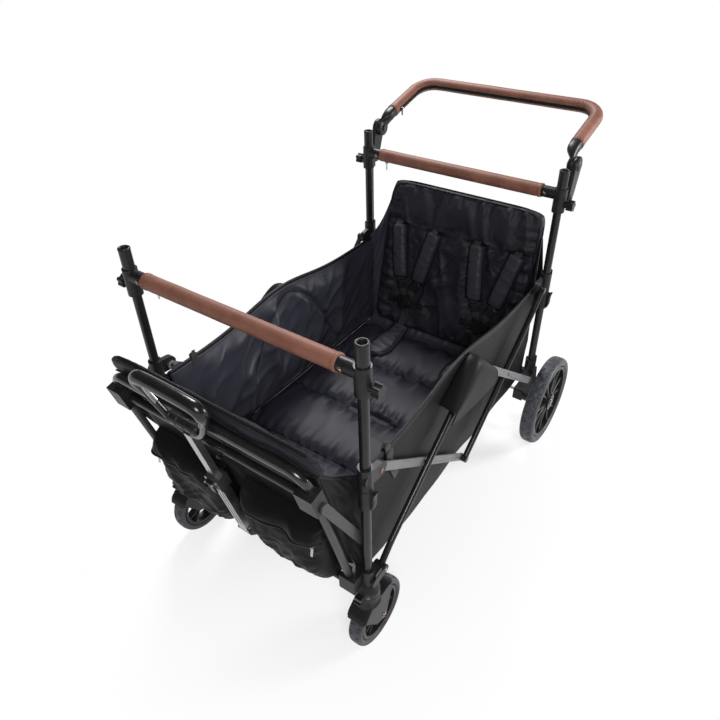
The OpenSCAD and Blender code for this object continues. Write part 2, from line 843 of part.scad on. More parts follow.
hoop_out = hoop_d / 2 + seat_gap;
bracket_x0 = px - 60;
bracket_x1 = px - post_d / 2 - link_t - 2 * seat_gap;
bracket_low = 338;
bracket_h = hoop_up - hoop_bend - bracket_low - seat_gap;
bracket_t = 34;
leg_low = 4;
leg_top = bracket_low + 16;
high_cross_up = bracket_low + 26;
high_cross_d = 18;
hoop_low = high_cross_up + high_cross_d / 2 + 1;
high_cross_end = bracket_x0 + 8;
module front_hoop() {
    color(steel) front_frame() translate([0, -hoop_out, 0]) rotate([90, 0, 0]) difference() {
        bent_u(hoop_half, hoop_low, hoop_up, hoop_bend, hoop_d);
        bent_u(hoop_half, hoop_low - cut, hoop_up, hoop_bend, hoop_d - 2 * post_wall);
    }
}

module front_hoop_brackets() {
    color(plastic) front_frame() pair() difference() {
        translate([bracket_x0, -bracket_t - seat_gap, bracket_low]) cube([bracket_x1 - bracket_x0, bracket_t, bracket_h]);
        translate([hoop_half, -hoop_out, hoop_low - snug]) cylinder(d = hoop_d + 2 * snug, h = bracket_h);
        translate([leg_x, -leg_w, bracket_low - cut]) cylinder(d = leg_d + 2 * snug, h = leg_top - bracket_low + cut + snug);
        translate([bracket_x0 - cut, -leg_w, high_cross_up]) rotate([0, 90, 0])
            cylinder(d = high_cross_d + 2 * snug, h = high_cross_end - bracket_x0 + cut + snug);
    }
}

// Leg tubes under the hoop and flat struts back to the posts
strut_x = bracket_x1 + seat_gap;
strut_up = 350;
strut_top = [
    fy - front_foot - leg_w * cos(front_lean) - strut_up * sin(front_lean),
    floor_top - leg_w * sin(front_lean) + strut_up * cos(front_lean)
];
module front_hoop_stays() {
    color(link_grey) pair() {
        front_frame() translate([leg_x, -leg_w, leg_low]) cylinder(d = leg_d, h = leg_top - leg_low);
        plate(strut_x, strut_x + link_t) strip(strut_top, [fy, strut_bolt_z], link_w);
    }
}

module front_cross_tubes() {
    color(steel) {
        difference() {
            cross_rod([fy - cross_out, cross_z], -cross_end, cross_end, cross_d);
            cross_rod([fy - cross_out, cross_z], -cross_end - cut, cross_end + cut, cross_d - 2 * post_wall);
        }
        front_frame() translate([-high_cross_end, -leg_w, high_cross_up]) rotate([0, 90, 0])
            cylinder(d = high_cross_d, h = 2 * high_cross_end);
    }
}

// Front panel with its padded rim and the gussets back to the posts
panel_set = 3;
panel_step = 24;
rim_half = px - 14;
rim_low = panel_up - 48;
rim_set = [4, 28];
gusset_t = 4;
gusset_back = fy - post_d / 2 - 2;
gusset_low = 320;
gusset_high = 625;
panel_high = [
    fy - front_foot + panel_t / 2 * cos(front_lean) - rim_low * sin(front_lean),
    floor_top + panel_t / 2 * sin(front_lean) + rim_low * cos(front_lean)
];
module front_panel() {
    color(cloth) {
        front_frame() {
            translate([0, panel_set + panel_t, 0]) rotate([90, 0, 0]) linear_extrude(panel_t) polygon([
                [4 - block_x, -seat_gap], [block_x - 4, -seat_gap], [block_x - 4, panel_step], [panel_half, panel_step],
                [panel_half, rim_low + cut], [-panel_half, rim_low + cut], [-panel_half, panel_step], [4 - block_x, panel_step]
            ]);
            plate(-rim_half, rim_half) translate([(rim_set[0] + rim_set[1]) / 2, (rim_low + panel_up) / 2])
                soft_box(rim_set[1] - rim_set[0], panel_up - rim_low, 10);
        }
        pair() plate(panel_half - gusset_t, panel_half)
            polygon([[gusset_back, gusset_low], [gusset_back, gusset_high], panel_high]);
    }
}

// Pockets on the front panel, one each side of the pull handle
pocket_in = 30;
pocket_out = 260;
pocket_section = [[0, 12], [-28, 10], [-54, 36], [-60, 96], [-50, 176], [-36, 214], [0, 222]];
module front_pockets() {
    color(cloth) front_frame() pair() plate(pocket_in, pocket_out)
        polygon([for (p = pocket_section) [p[0] + panel_set - seat_gap, p[1]]]);
}

// Pull-handle yoke, clamped on the front cross tube
pull_pivot = [fy - pull_out, pull_pivot_z];
yoke_gap = 0.5;
yoke_t = 5;
yoke_w = 24;
yoke_in = stem_w / 2 + 1 + yoke_gap;
module handle_yoke() {
    color(plastic) difference() {
        union() {
            cross_rod([fy - cross_out, cross_z], -yoke_in - yoke_t, yoke_in + yoke_t, cross_d + 12);
            pair() plate(yoke_in, yoke_in + yoke_t) strip([fy - cross_out, cross_z], pull_pivot, yoke_w);
            cross_rod(pull_pivot, -yoke_in - cut, yoke_in + cut, pin_d);
        }
        cross_rod([fy - cross_out, cross_z], -yoke_in - yoke_t - cut, yoke_in + yoke_t + cut, cross_d + 2 * snug);
    }
}

// Pull handle, drawn upright with its pivot at the origin
module pull_frame() {
    translate([0, pull_pivot[0], pull_pivot[1]]) rotate([pull_lean, 0, 0]) children();
}

// Upright bar with a rectangular section, from z0 to z1
module stem_bar(w, t, z0, z1) {
    translate([-w / 2, -t / 2, z0]) cube([w, t, z1 - z0]);
}

stem_low = 14;
collar_l = 42;
collar_grow = 10;
latch_eye_d = 9;
latch_pin_d = 4;
latch_half = 8;
latch_up = stem_length - 8;
latch_out = (stem_t + collar_grow) / 2 + latch_eye_d / 2;
latch_l = 34;
module handle_outer_stem() {
    color(bright) pull_frame() difference() {
        union() {
            cross_rod([0, 0], -stem_w / 2 - 1, stem_w / 2 + 1, yoke_w);
            stem_bar(stem_w, stem_t, 0, stem_length - cut);
            stem_bar(stem_w + collar_grow, stem_t + collar_grow, stem_length - collar_l, stem_length);
            pair() plate(latch_half + slide_play, latch_half + 5)
                strip([0, latch_up], [-latch_out, latch_up], latch_eye_d);
            cross_rod([-latch_out, latch_up], -latch_half - cut, latch_half + cut, latch_pin_d);
        }
        stem_bar(stem_w - 2 * stem_wall, stem_t - 2 * stem_wall, stem_low + 10, stem_length + cut);
        cross_rod([0, 0], -stem_w, stem_w, pin_d + 2 * run_play);
    }
}

module handle_latch() {
    color(plastic) pull_frame() difference() {
        plate(-latch_half, latch_half) {
            translate([-latch_out, latch_up]) circle(d = latch_eye_d);
            strip([-latch_out, latch_up], [-latch_out, latch_up - latch_l], 5);
        }
        cross_rod([-latch_out, latch_up], -latch_half - cut, latch_half + cut, latch_pin_d + 2 * run_play);
    }
}

inner_low = stem_low + 14;
head_low = pull_length - pull_loop_h - 32;
module handle_inner_stem() {
    color(bright) pull_frame()
        stem_bar(stem_w - 2 * stem_wall - 2 * slide_play, stem_t - 2 * stem_wall - 2 * slide_play, inner_low, head_low);
}

// Loop grip: head on the stem, lower bar, two side arms and the grip bar
loop_arm_d = 17;
low_bar_d = 22;
module handle_grip() {
    color(plastic) pull_frame() {
        stem_bar(stem_w, stem_t, head_low + seat_gap, pull_length - pull_loop_h);
        translate([-pull_low_half, 0, pull_length - pull_loop_h]) rotate([0, 90, 0])
            cylinder(d = low_bar_d, h = 2 * pull_low_half);
        translate([-pull_grip_half, 0, pull_length]) rotate([0, 90, 0]) cylinder(d = pull_grip_d, h = 2 * pull_grip_half);
        pair() {
            rod([pull_low_half, 0, pull_length - pull_loop_h], [pull_grip_half, 0, pull_length], loop_arm_d);
            translate([pull_low_half, 0, pull_length - pull_loop_h]) sphere(d = low_bar_d);
            translate([pull_grip_half, 0, pull_length]) sphere(d = pull_grip_d);
        }
    }
}

// Floor: board on the cross tubes, quilted pad on the board
board_front = fy - cross_out - 8;
board_rear = ry + 6;
board_wide_front = fy + post_d / 2 + collar_wall + 2;
board_wide_rear = ry - post_d / 2 - collar_wall - 2;
pad_front = fy + 6;
pad_rear = ry - back_foot - back_t - 14;
pad_crown = 7;
pad_seams = 4;
seam_w = 9;
floor_form = [20, 28];
module floor_pad() {
    length = pad_rear - pad_front;
    outline = function(u, v) [
        (2 * u - 1) * (pad_half - 4 * sin(180 * v)), pad_front + length * v
    ];
    face = function(u, v) pad_t + pad_crown * swell(u, v)
        - pad_crown * max([for (k = [1:pad_seams]) groove((v - k / (pad_seams + 1)) * length, seam_w)])
        * swell(u, v);
    color(cloth) {
        translate([0, 0, board_low]) {
            translate([-side_out + side_t + seat_gap, board_wide_front, 0])
                cube([2 * (side_out - side_t - seat_gap), board_wide_rear - board_wide_front, board_t]);
            difference() {
                translate([-block_x + 4, board_front, 0])
                    cube([2 * block_x - 8, board_wide_front - board_front, board_t]);
                translate([-yoke_in - yoke_t - 1, board_front - cut, -cut])
                    cube([2 * (yoke_in + yoke_t + 1), cross_d + 16, board_t + 2 * cut]);
            }
            translate([-block_x + 4, board_wide_rear, 0]) cube([2 * block_x - 8, board_rear - board_wide_rear, board_t]);
        }
        translate([0, 0, floor_top + seat_gap]) cushion(floor_form[0], floor_form[1], outline, face);
    }
}

// Side panels, hung between the posts inside the links
module side_panels() {
    color(cloth) pair() translate([side_out - side_t, board_wide_front, side_low])
        cube([side_t, board_wide_rear - board_wide_front, side_top - side_low]);
}

// Rear end, drawn in its own leaning frame: local Z runs up the backrest, local -Y faces the seat
module back_frame() {
    translate([0, ry - back_foot, floor_top]) rotate([-back_lean, 0, 0]) children();
}

// Outline of the backrest: the upper corners are round
back_round = 44;
function back_edge(z) = z < back_up - back_round ? back_half
    : back_half - back_round + sqrt(max(0, pow(back_round, 2) - pow(z - back_up + back_round, 2)));

rear_panel_t = 6;
panel_foot = rear_panel_t * tan(back_lean) + seat_gap;
wing_half = px - 24;
wing_up = 330;
wing_end = 430;
module rear_panel() {
    color(cloth) back_frame() translate([0, rear_panel_t, 0]) rotate([90, 0, 0]) linear_extrude(rear_panel_t) polygon([
        [-wing_half, panel_foot], [wing_half, panel_foot], [wing_half, wing_up], [back_half, wing_end],
        [back_half - back_round, back_up - 4], [back_round - back_half, back_up - 4],
        [-back_half, wing_end], [-wing_half, wing_up]
    ]);
}

back_crown = 8;
back_seam = 300;
back_form = [20, 18];
module backrest_pad() {
    outline = function(u, v) [
        (2 * u - 1) * (back_edge(24 + (back_up - 24) * v) - 4 * sin(180 * v)), 24 + (back_up - 24) * v
    ];
    face = function(u, v) back_t + back_crown * swell(u, v)
        - back_crown * groove(24 + (back_up - 24) * v - back_seam, seam_w) * swell(u, v);
    color(cloth) back_frame() translate([0, -seat_gap, 0]) rotate([90, 0, 0])
        cushion(back_form[0], back_form[1], outline, face);
}

// Harness places, measured across X and up the backrest
seat_x = 137;
slot_half = 65;
slot_up = 362;
pad_foot_half = 36;
pad_foot_up = 190;
buckle_up = 112;
strap_front = back_t + back_crown + 2 * seat_gap;
strap_t = 3;
strap_w = 25;
buckle_size = [44, 52, 20];
module harness_straps() {
    color(plastic) back_frame() for (seat = [-1, 1]) translate([seat * seat_x, -strap_front, 0]) rotate([90, 0, 0]) {
        for (s = [-1, 1]) linear_extrude(strap_t)
            strip([s * (pad_foot_half - 6), pad_foot_up - 46], [s * 16, buckle_up + 14], strap_w * 0.6);
        translate([0, buckle_up, 0]) linear_extrude(buckle_size[2]) soft_box(buckle_size[0], buckle_size[1], 10);
    }
}

// Shoulder pads on the backrest and crotch pads on the floor
shoulder_w = 50;
shoulder_t = 8;
shoulder_crown = 7;
crotch_w = 84;
crotch_l = 150;
crotch_t = 9;
crotch_crown = 8;
crotch_front = ry - 240;
crotch_sink = 1.4;
outer_sink = 1;
function round_end(v, l, w) = sqrt(max(0.02, 1 - pow(max(0, (v * l - l + w / 2) / (w / 2)), 2)));
module harness_pads() {
    shoulder_l = norm([slot_half - pad_foot_half, slot_up - pad_foot_up]);
    shoulder_face = function(u, v) shoulder_t + shoulder_crown * swell(u, v);
    shoulder_outline = function(u, v) [(u - 0.5) * (shoulder_w - 3 * sin(180 * v)), v * shoulder_l];
    crotch_face = function(u, v) crotch_t + crotch_crown * swell(u, v);
    crotch_outline = function(u, v) [(u - 0.5) * crotch_w * round_end(v, crotch_l, crotch_w), v * crotch_l];
    color(cloth) {
        back_frame() for (seat = [-1, 1], s = [-1, 1])
            translate([seat * seat_x + s * pad_foot_half, (seat == s ? outer_sink : 0) - strap_front, pad_foot_up]) rotate([90, 0, 0])
            rotate(-s * atan2(slot_half - pad_foot_half, slot_up - pad_foot_up))
            cushion(6, 10, shoulder_outline, shoulder_face);
        for (seat = [-1, 1])
            translate([seat * seat_x, crotch_front + crotch_l, floor_top + pad_t + pad_crown + 2 * seat_gap - crotch_sink])
            rotate(180) cushion(8, 10, crotch_outline, crotch_face);
    }
}

rear_posts();
rear_corners();
rear_axle();
rear_lock_collars();
rear_bar_clamps();
rear_bar_tube();
rear_bar_grip();
push_hinge_bases();
rear_panel();
backrest_pad();
harness_straps();
harness_pads();
floor_pad();
side_panels();
brake_pedal();
push_handle_tube();
push_handle_grip();
push_hinge_arms();
push_button(-1);  // push_button_left
push_button(1);  // push_button_right
clamp_knob(-1, ry);  // rear_knob_left
clamp_knob(1, ry);  // rear_knob_right
rear_tyre(-1);  // rear_tyre_left
rear_tyre(1);  // rear_tyre_right
rear_rim(-1);  // rear_rim_left
rear_rim(1);  // rear_rim_right
rear_flat_links();
rear_tube_links();
rear_sliders();
front_tube_links();
front_flat_links();
front_sliders();
front_posts();
front_corners();
caster_housings();
front_cross_tubes();
front_lock_collars();
front_bar_clamps();
front_bar_tube();
front_bar_grip();
front_hoop();
front_hoop_brackets();
front_hoop_stays();
front_panel();
front_pockets();
handle_yoke();
handle_outer_stem();
handle_latch();
handle_inner_stem();
handle_grip();
caster_fork(-1);  // caster_fork_left
caster_fork(1);  // caster_fork_right
caster_tyre(-1);  // caster_tyre_left
caster_tyre(1);  // caster_tyre_right
caster_rim(-1);  // caster_rim_left
caster_rim(1);  // caster_rim_right
caster_lock(-1);  // caster_lock_left
caster_lock(1);  // caster_lock_right
clamp_knob(-1, fy);  // front_knob_left
clamp_knob(1, fy);  // front_knob_right
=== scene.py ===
"""Dresses the folding stroller wagon in cloth, leather, rubber, metal and trim.

Places are in metres, in the frame's own axes: X across, +Y towards the push handle, Z up.
"""
from __future__ import annotations

import json
import logging
import math
from collections import defaultdict
from dataclasses import dataclass, field
from enum import Enum
from typing import Callable, Iterable, Optional, Sequence

import bmesh
import bpy
import numpy as np
from mathutils import Matrix

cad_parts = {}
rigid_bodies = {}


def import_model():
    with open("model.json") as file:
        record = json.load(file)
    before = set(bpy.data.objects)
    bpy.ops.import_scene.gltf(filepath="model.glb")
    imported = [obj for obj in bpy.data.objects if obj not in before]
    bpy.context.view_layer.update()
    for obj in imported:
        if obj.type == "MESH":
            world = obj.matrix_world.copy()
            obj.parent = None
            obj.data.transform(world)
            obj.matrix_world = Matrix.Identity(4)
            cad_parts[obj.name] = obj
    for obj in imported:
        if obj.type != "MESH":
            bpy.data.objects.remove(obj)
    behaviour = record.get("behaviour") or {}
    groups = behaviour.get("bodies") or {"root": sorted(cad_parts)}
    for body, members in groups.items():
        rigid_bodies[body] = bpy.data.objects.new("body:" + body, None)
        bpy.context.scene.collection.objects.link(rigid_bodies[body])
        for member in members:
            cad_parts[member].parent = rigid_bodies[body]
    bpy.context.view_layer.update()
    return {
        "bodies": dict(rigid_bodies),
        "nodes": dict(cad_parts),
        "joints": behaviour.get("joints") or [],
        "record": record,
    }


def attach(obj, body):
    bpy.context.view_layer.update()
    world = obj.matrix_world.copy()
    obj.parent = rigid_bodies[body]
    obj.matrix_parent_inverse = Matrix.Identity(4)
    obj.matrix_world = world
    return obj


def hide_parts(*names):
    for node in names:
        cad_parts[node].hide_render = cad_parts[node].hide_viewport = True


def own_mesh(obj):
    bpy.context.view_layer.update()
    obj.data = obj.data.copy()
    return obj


LOG = logging.getLogger("wagon")
Array = np.ndarray
Colour = tuple[float, float, float]
Numbers = Sequence[float]
Socket = bpy.types.NodeSocket
Material = bpy.types.Material


class Side(Enum):
    """Which side of the wagon a piece is on, as seen from the pull end."""

    LEFT = -1
    RIGHT = 1

    @property
    def label(self) -> str:
        """The side's word in a piece's name."""
        return self.name.lower()

    @property
    def flip(self) -> Array:
        """Factors that carry a right-hand shape to this side."""
        return np.array([self.value, 1, 1])


class Coords(Enum):
    """Which coordinates a pattern follows: the object's own, or the cloth's."""

    OBJECT = "Object"
    CLOTH = "UV"


# Places shared by the pieces


@dataclass(frozen=True)
class Lean:
    """A plane of the wagon that leans about X, with the point it leans about."""

    origin: tuple[float, float, float]
    degrees: float = 0.0

    def world(self, points: Array) -> Array:
        """Turns points about X by the lean, then moves them to the origin.

        Args:
            points: Local points, last axis of length 3.

        Returns:
            The same points in the wagon's axes.
        """
        p = np.asarray(points, float)
        c, s = math.cos(math.radians(self.degrees)), math.sin(math.radians(self.degrees))
        turned = [p[..., 0], c * p[..., 1] - s * p[..., 2], s * p[..., 1] + c * p[..., 2]]
        return np.stack(turned, -1) + np.asarray(self.origin)

    def way(self, direction: Numbers) -> Array:
        """A local direction in the wagon's axes."""
        return self.world(direction) - self.world([0, 0, 0])


POST_X = 0.310
FRONT_Y = -0.5140855
REAR_Y = 0.3999145
BOARD_TOP = 0.2733
PAD_BASE = 0.2736
BAR_Z = 0.863
FRONT = Lean((0.0, FRONT_Y - 0.014, BOARD_TOP), 14.3)
BACK = Lean((0.0, REAR_Y - 0.037, BOARD_TOP), -13.3)
PULL = Lean((0.0, FRONT_Y - 0.067, 0.290), 13.2)
PUSH = Lean((0.0, 0.483915, 0.955), 14.3)
UP = (0, 0, 1)
ACROSS = (1, 0, 0)
CLOTH_WALL = 0.0016
MOULDED_EDGE = 40.0
BOLT_EDGE = 35.0
ENDS = (-1, 1)
SIDEWAYS = np.array([[0, 0, 1], [1, 0, 0], [0, 1, 0]])
UPRIGHT = np.array([[1, 0, 0], [0, 0, -1], [0, 1, 0]])


# Shapes worked out as arrays


@dataclass
class Form:
    """Points, faces and cloth coordinates of a shape, all as whole arrays."""

    points: Array
    faces: list[list[int]]
    uv: Array

    def placed(self, place: Lean) -> "Form":
        """The same form moved into a leaning plane's place."""
        return Form(place.world(self.points), self.faces, self.uv)

    def moved(self, offset: Numbers, turn: Optional[Array] = None) -> "Form":
        """The form turned by a 3x3 matrix, where one is given, and then moved."""
        points = self.points if turn is None else self.points @ np.asarray(turn).T
        return Form(points + np.asarray(offset), self.faces, self.uv)

    def mirrored(self) -> "Form":
        """The form's mirror image across the wagon's middle."""
        return Form(self.points * np.array([-1, 1, 1]), [f[::-1] for f in self.faces], self.uv)


def joined(forms: Iterable[Form]) -> Form:
    """Several forms as one, with the face numbers shifted."""
    points, faces, uv, count = [], [], [], 0
    for form in forms:
        points.append(form.points)
        faces.extend([[n + count for n in face] for face in form.faces])
        uv.append(form.uv)
        count += len(form.points)
    return Form(np.concatenate(points), faces, np.concatenate(uv))


def stack(*parts: object) -> Array:
    """Numbers and arrays, spread to one shape and put side by side along a last axis."""
    return np.stack(np.broadcast_arrays(*parts), -1)


def raised(flat: Array, height: float) -> Array:
    """Flat points at a height."""
    return np.column_stack([flat, np.full(len(flat), height)])


def crossed(rows: Array, columns: Array) -> tuple[Array, Array]:
    """Two grids of parameters, one along the rows, one along the columns."""
    return tuple(np.meshgrid(rows, columns, indexing="ij"))


def full_turn(count: int) -> Array:
    """Even angles round a circle."""
    return np.linspace(0, 2 * np.pi, count, endpoint=False)


def read_at(at: Array, run: Array, rows: Array) -> Array:
    """Rows of numbers read between their places along a run."""
    return np.column_stack([np.interp(at, run, column) for column in rows.T])


def grid_faces(rows: int, columns: int, ring: bool = False) -> list[list[int]]:
    """Quads of a grid whose point (i, j) has the number i * columns + j.

    Args:
        rows: Number of rows.
        columns: Number of columns.
        ring: Whether the last column meets the first.

    Returns:
        The quads.
    """
    i, j = crossed(np.arange(rows - 1), np.arange(columns if ring else columns - 1))
    k = (j + 1) % columns
    quads = [i * columns + j, (i + 1) * columns + j, (i + 1) * columns + k, i * columns + k]
    return np.stack(quads, -1).reshape(-1, 4).tolist()


def lattice(rows: int, columns: int) -> tuple[Array, Array]:
    """Two grids from -1 to 1, one along the rows, one along the columns."""
    return crossed(np.linspace(-1, 1, rows), np.linspace(-1, 1, columns))


def surface(points: Array, uv: Array) -> Form:
    """One sheet from a grid of points and their cloth coordinates in metres."""
    return Form(points.reshape(-1, 3), grid_faces(*points.shape[:2]), uv.reshape(-1, 2))


def pillow(top: Array, bottom: Array, uv: Array) -> Form:
    """Closed pad from two grids whose borders coincide and merge when it becomes a mesh."""
    lower = surface(bottom, uv)
    return joined([surface(top, uv), Form(lower.points, [f[::-1] for f in lower.faces], lower.uv)])


def pair(make: Callable[[int], Form]) -> Form:
    """The left and the right form of a thing as one."""
    return joined(make(side) for side in ENDS)


def both_sides(form: Form) -> Form:
    """A right-hand form and its mirror image as one."""
    return joined([form.mirrored(), form])


def unit(vectors: Array) -> Array:
    """Vectors scaled to a length of 1."""
    return vectors / np.maximum(np.linalg.norm(vectors, axis=-1, keepdims=True), 1e-12)


def frames(path: Array, up: Numbers, closed: bool = False) -> tuple[Array, Array, Array]:
    """Directions along, beside and above a path: above is up with its share along the path taken out.

    Args:
        path: Points of shape (n, 3).
        up: A direction that is never along the path, or one per point.
        closed: Whether the path runs back to its start.

    Returns:
        Unit vectors along, beside and above, each of shape (n, 3).
    """
    if closed:
        along = unit(np.roll(path, -1, 0) - np.roll(path, 1, 0))
    else:
        along = unit(np.gradient(path, axis=0))
    upward = np.broadcast_to(np.asarray(up, float), path.shape)
    above = unit(upward - (upward * along).sum(-1, keepdims=True) * along)
    return along, np.cross(along, above), above


def travelled(path: Array) -> Array:
    """Distance from the start to each point of a path."""
    return np.concatenate([[0.0], np.cumsum(np.linalg.norm(np.diff(path, axis=0), axis=1))])


def sweep(path: Array, profile: Array, up: Numbers, scale: Optional[Array] = None, closed: bool = False) -> Form:
    """Carries a closed profile along a path: point = path + beside * profile x + above * profile y.

    Args:
        path: Points of shape (n, 3).
        profile: Closed section of shape (m, 2), in metres.
        up: Which way the profile's y points.
        scale: Size of the section at each point, shape (n,) or (n, 2).
        closed: Whether the path runs back to its start.

    Returns:
        The swept form, with flat ends where it is open.
    """
    path, profile = np.asarray(path, float), np.asarray(profile, float)
    n, m = len(path), len(profile)
    _, beside, above = frames(path, up, closed)
    size = np.ones((n, 2)) if scale is None else np.asarray(scale, float).reshape(n, -1) * np.ones((1, 2))
    points = (path[:, None] + profile[None, :, :1] * size[:, None, :1] * beside[:, None]
              + profile[None, :, 1:] * size[:, None, 1:] * above[:, None])
    around = travelled(np.vstack([profile, profile[:1]]))[:m]
    uv = stack(travelled(path)[:, None], around[None])
    if closed:
        points, uv = np.concatenate([points, points[:1]]), np.concatenate([uv, uv[:1]])
    faces = grid_faces(len(points), m, True)
    if not closed:
        faces += [list(range(m))[::-1], list(range((n - 1) * m, n * m))]
    return Form(points.reshape(-1, 3), faces, uv.reshape(-1, 2))


def circle(radius: float, sides: int = 16) -> Array:
    """Points of a circle, as a section for a sweep."""
    turn = full_turn(sides)
    return radius * stack(np.cos(turn), np.sin(turn))


def oblong(width: float, height: float, power: float = 3.0, sides: int = 24) -> Array:
    """Rounded oblong section: |x / half width|^power + |y / half height|^power = 1.

    Args:
        width: Full width.
        height: Full height.
        power: 2 is an ellipse; more is squarer.
        sides: Number of points.

    Returns:
        The section's points.
    """
    turn = full_turn(sides)
    c, s = np.cos(turn), np.sin(turn)
    curve = stack(signed(c, 2 / power), signed(s, 2 / power))
    return curve * np.array([width / 2, height / 2])


def tube(path: Array, radius: float, up: Numbers, sides: int = 16) -> Form:
    """Round bar along a path, with domed ends inside the path's own length.

    Args:
        path: Points of shape (n, 3).
        radius: Bar radius.
        up: A direction that is never along the path.
        sides: Faces around.

    Returns:
        The bar.
    """
    path = np.asarray(path, float)
    size = np.sin(np.linspace(0.1, np.pi / 2, 5))
    rise = (radius * (1 - np.sqrt(1 - size ** 2)))[:, None]
    head = path[0] + unit(path[1] - path[0]) * rise
    tail = path[-1] - unit(path[-1] - path[-2]) * rise[::-1]
    size = np.concatenate([size, np.ones(max(len(path) - 2, 0)), size[::-1]])
    return sweep(np.concatenate([head, path[1:-1], tail]), circle(radius, sides), up, size)


def lathe(profile: Array, centre: Numbers, axis: Numbers, sides: int = 32) -> Form:
    """Turns a profile about an axis: point = centre + axis * along + radius * (cos, sin) across it.

    Args:
        profile: Rows of (radius, along), from one end to the other.
        centre: A point on the axis.
        axis: The axis' direction.
        sides: Faces around.

    Returns:
        The turned form; ends with a radius of 0 close to a pole.
    """
    profile = np.asarray(profile, float)
    w = unit(np.asarray(axis, float))
    u = unit(np.cross(w, [0.0, 0.0, 1.0] if abs(w[2]) < 0.9 else [1.0, 0.0, 0.0]))
    v = np.cross(w, u)
    turn = full_turn(sides)
    ring = np.cos(turn)[:, None] * u + np.sin(turn)[:, None] * v
    points = np.asarray(centre) + profile[:, 1, None, None] * w + profile[:, 0, None, None] * ring[None]
    uv = stack(travelled(profile)[:, None], turn[None] * profile[:, 0].max())
    return Form(points.reshape(-1, 3), grid_faces(len(profile), sides, True), uv.reshape(-1, 2))


def block(size: Numbers, radius: float, steps: int = 4) -> Form:
    """Box with rounded edges: a ball of the radius, its octants moved out to the box's corners.

    Args:
        size: Full sizes along x, y and z.
        radius: Edge radius.
        steps: Points along a quarter turn.

    Returns:
        The box about the origin.
    """
    quarter = np.linspace(0.02, np.pi / 2 - 0.02, steps)
    turn = (quarter[None] + np.arange(4)[:, None] * np.pi / 2).ravel()
    rise = np.concatenate([[-np.pi / 2], -quarter[::-1], quarter, [np.pi / 2]])
    t, r = np.meshgrid(turn, rise, indexing="xy")
    ball = stack(np.cos(r) * np.cos(t), np.cos(r) * np.sin(t), np.sin(r))
    ends = stack(np.cos(t), np.sin(t), np.sin(r))
    points = ball * radius + np.sign(np.round(ends, 9)) * (np.asarray(size) / 2 - radius)
    points = points.reshape(-1, 3)
    rows, columns = len(rise), len(turn)
    caps = [list(range(columns))[::-1], list(range((rows - 1) * columns, rows * columns))]
    return Form(points, grid_faces(rows, columns, True) + caps, points[:, :2])


def plate(outline: Array, thickness: float, edge: float = 0.0008) -> Form:
    """Flat plate with a rounded rim: the outline at full size and drawn in by the edge, at four heights.

    Args:
        outline: Closed outline of shape (m, 2), convex or nearly so.
        thickness: Height along z.
        edge: Width of the rounded rim.

    Returns:
        The plate, standing on z = 0.
    """
    outline = np.asarray(outline, float)
    m = len(outline)
    middle = outline.mean(0)
    inner = middle + (outline - middle) * (1 - edge / np.abs(outline - middle).max(0))
    heights = [0.0, edge, thickness - edge, thickness]
    rings = [raised(ring, height) for ring, height in zip((inner, outline, outline, inner), heights)]
    caps = [list(range(m))[::-1], list(range(3 * m, 4 * m))]
    points = np.concatenate(rings)
    return Form(points, grid_faces(4, m, True) + caps, points[:, :2])


def round_rect(width: float, height: float, radius: float, steps: int = 5) -> Array:
    """Outline of an oblong with round corners.

    Args:
        width: Size along x.
        height: Size along y.
        radius: Corner radius.
        steps: Points on each corner.

    Returns:
        The outline's points.
    """
    turn = (np.linspace(0, np.pi / 2, steps)[None] + np.arange(4)[:, None] * np.pi / 2).ravel()
    corner = np.repeat(np.array([[1, 1], [-1, 1], [-1, -1], [1, -1]]), steps, axis=0)
    return corner * np.array([width / 2 - radius, height / 2 - radius]) + radius * stack(np.cos(turn), np.sin(turn))


def smooth(values: Array) -> Array:
    """Smooth step from 0 to 1 of values held between 0 and 1."""
    t = np.clip(values, 0, 1)
    return t * t * (3 - 2 * t)


def bell(away: Array, width: float) -> Array:
    """1 in the middle of a place and 0 away from it: exp(-(away / width)^2)."""
    return np.exp(-(away / width) ** 2)


def rounded(place: Array, power: float) -> Array:
    """Height of a rounded edge, 1 in the middle and 0 at -1 and 1: sqrt(1 - |place|^power)."""
    return (1 - np.abs(place) ** power) ** 0.5


def signed(values: Array, power: float) -> Array:
    """Power of the values' sizes, with their signs kept."""
    return np.sign(values) * np.abs(values) ** power


def ripples(seed: int, points: Array, length: float, count: int = 7) -> Array:
    """Even noise of about -1 to 1: a sum of sines with drawn directions, lengths and starts.

    Args:
        seed: Which draw.
        points: Where to read it, last axis of any length.
        length: Usual distance from crest to crest.
        count: Number of sines.

    Returns:
        The noise at the points.
    """
    draw = np.random.default_rng(seed)
    ways = unit(draw.normal(size=(count, points.shape[-1])))
    turns = 2 * np.pi / (length * draw.uniform(0.65, 1.6, count))
    starts = draw.uniform(0, 2 * np.pi, count)
    return np.sin((points @ ways.T) * turns + starts).sum(-1) / math.sqrt(count) / 1.2


def creases(seed: int, points: Array, length: float) -> Array:
    """Folds from 0 to 1: one less the softened size of an even noise, squared."""
    return np.clip(1.2 - np.sqrt(ripples(seed, points, length) ** 2 + 0.04), 0, 1) ** 2


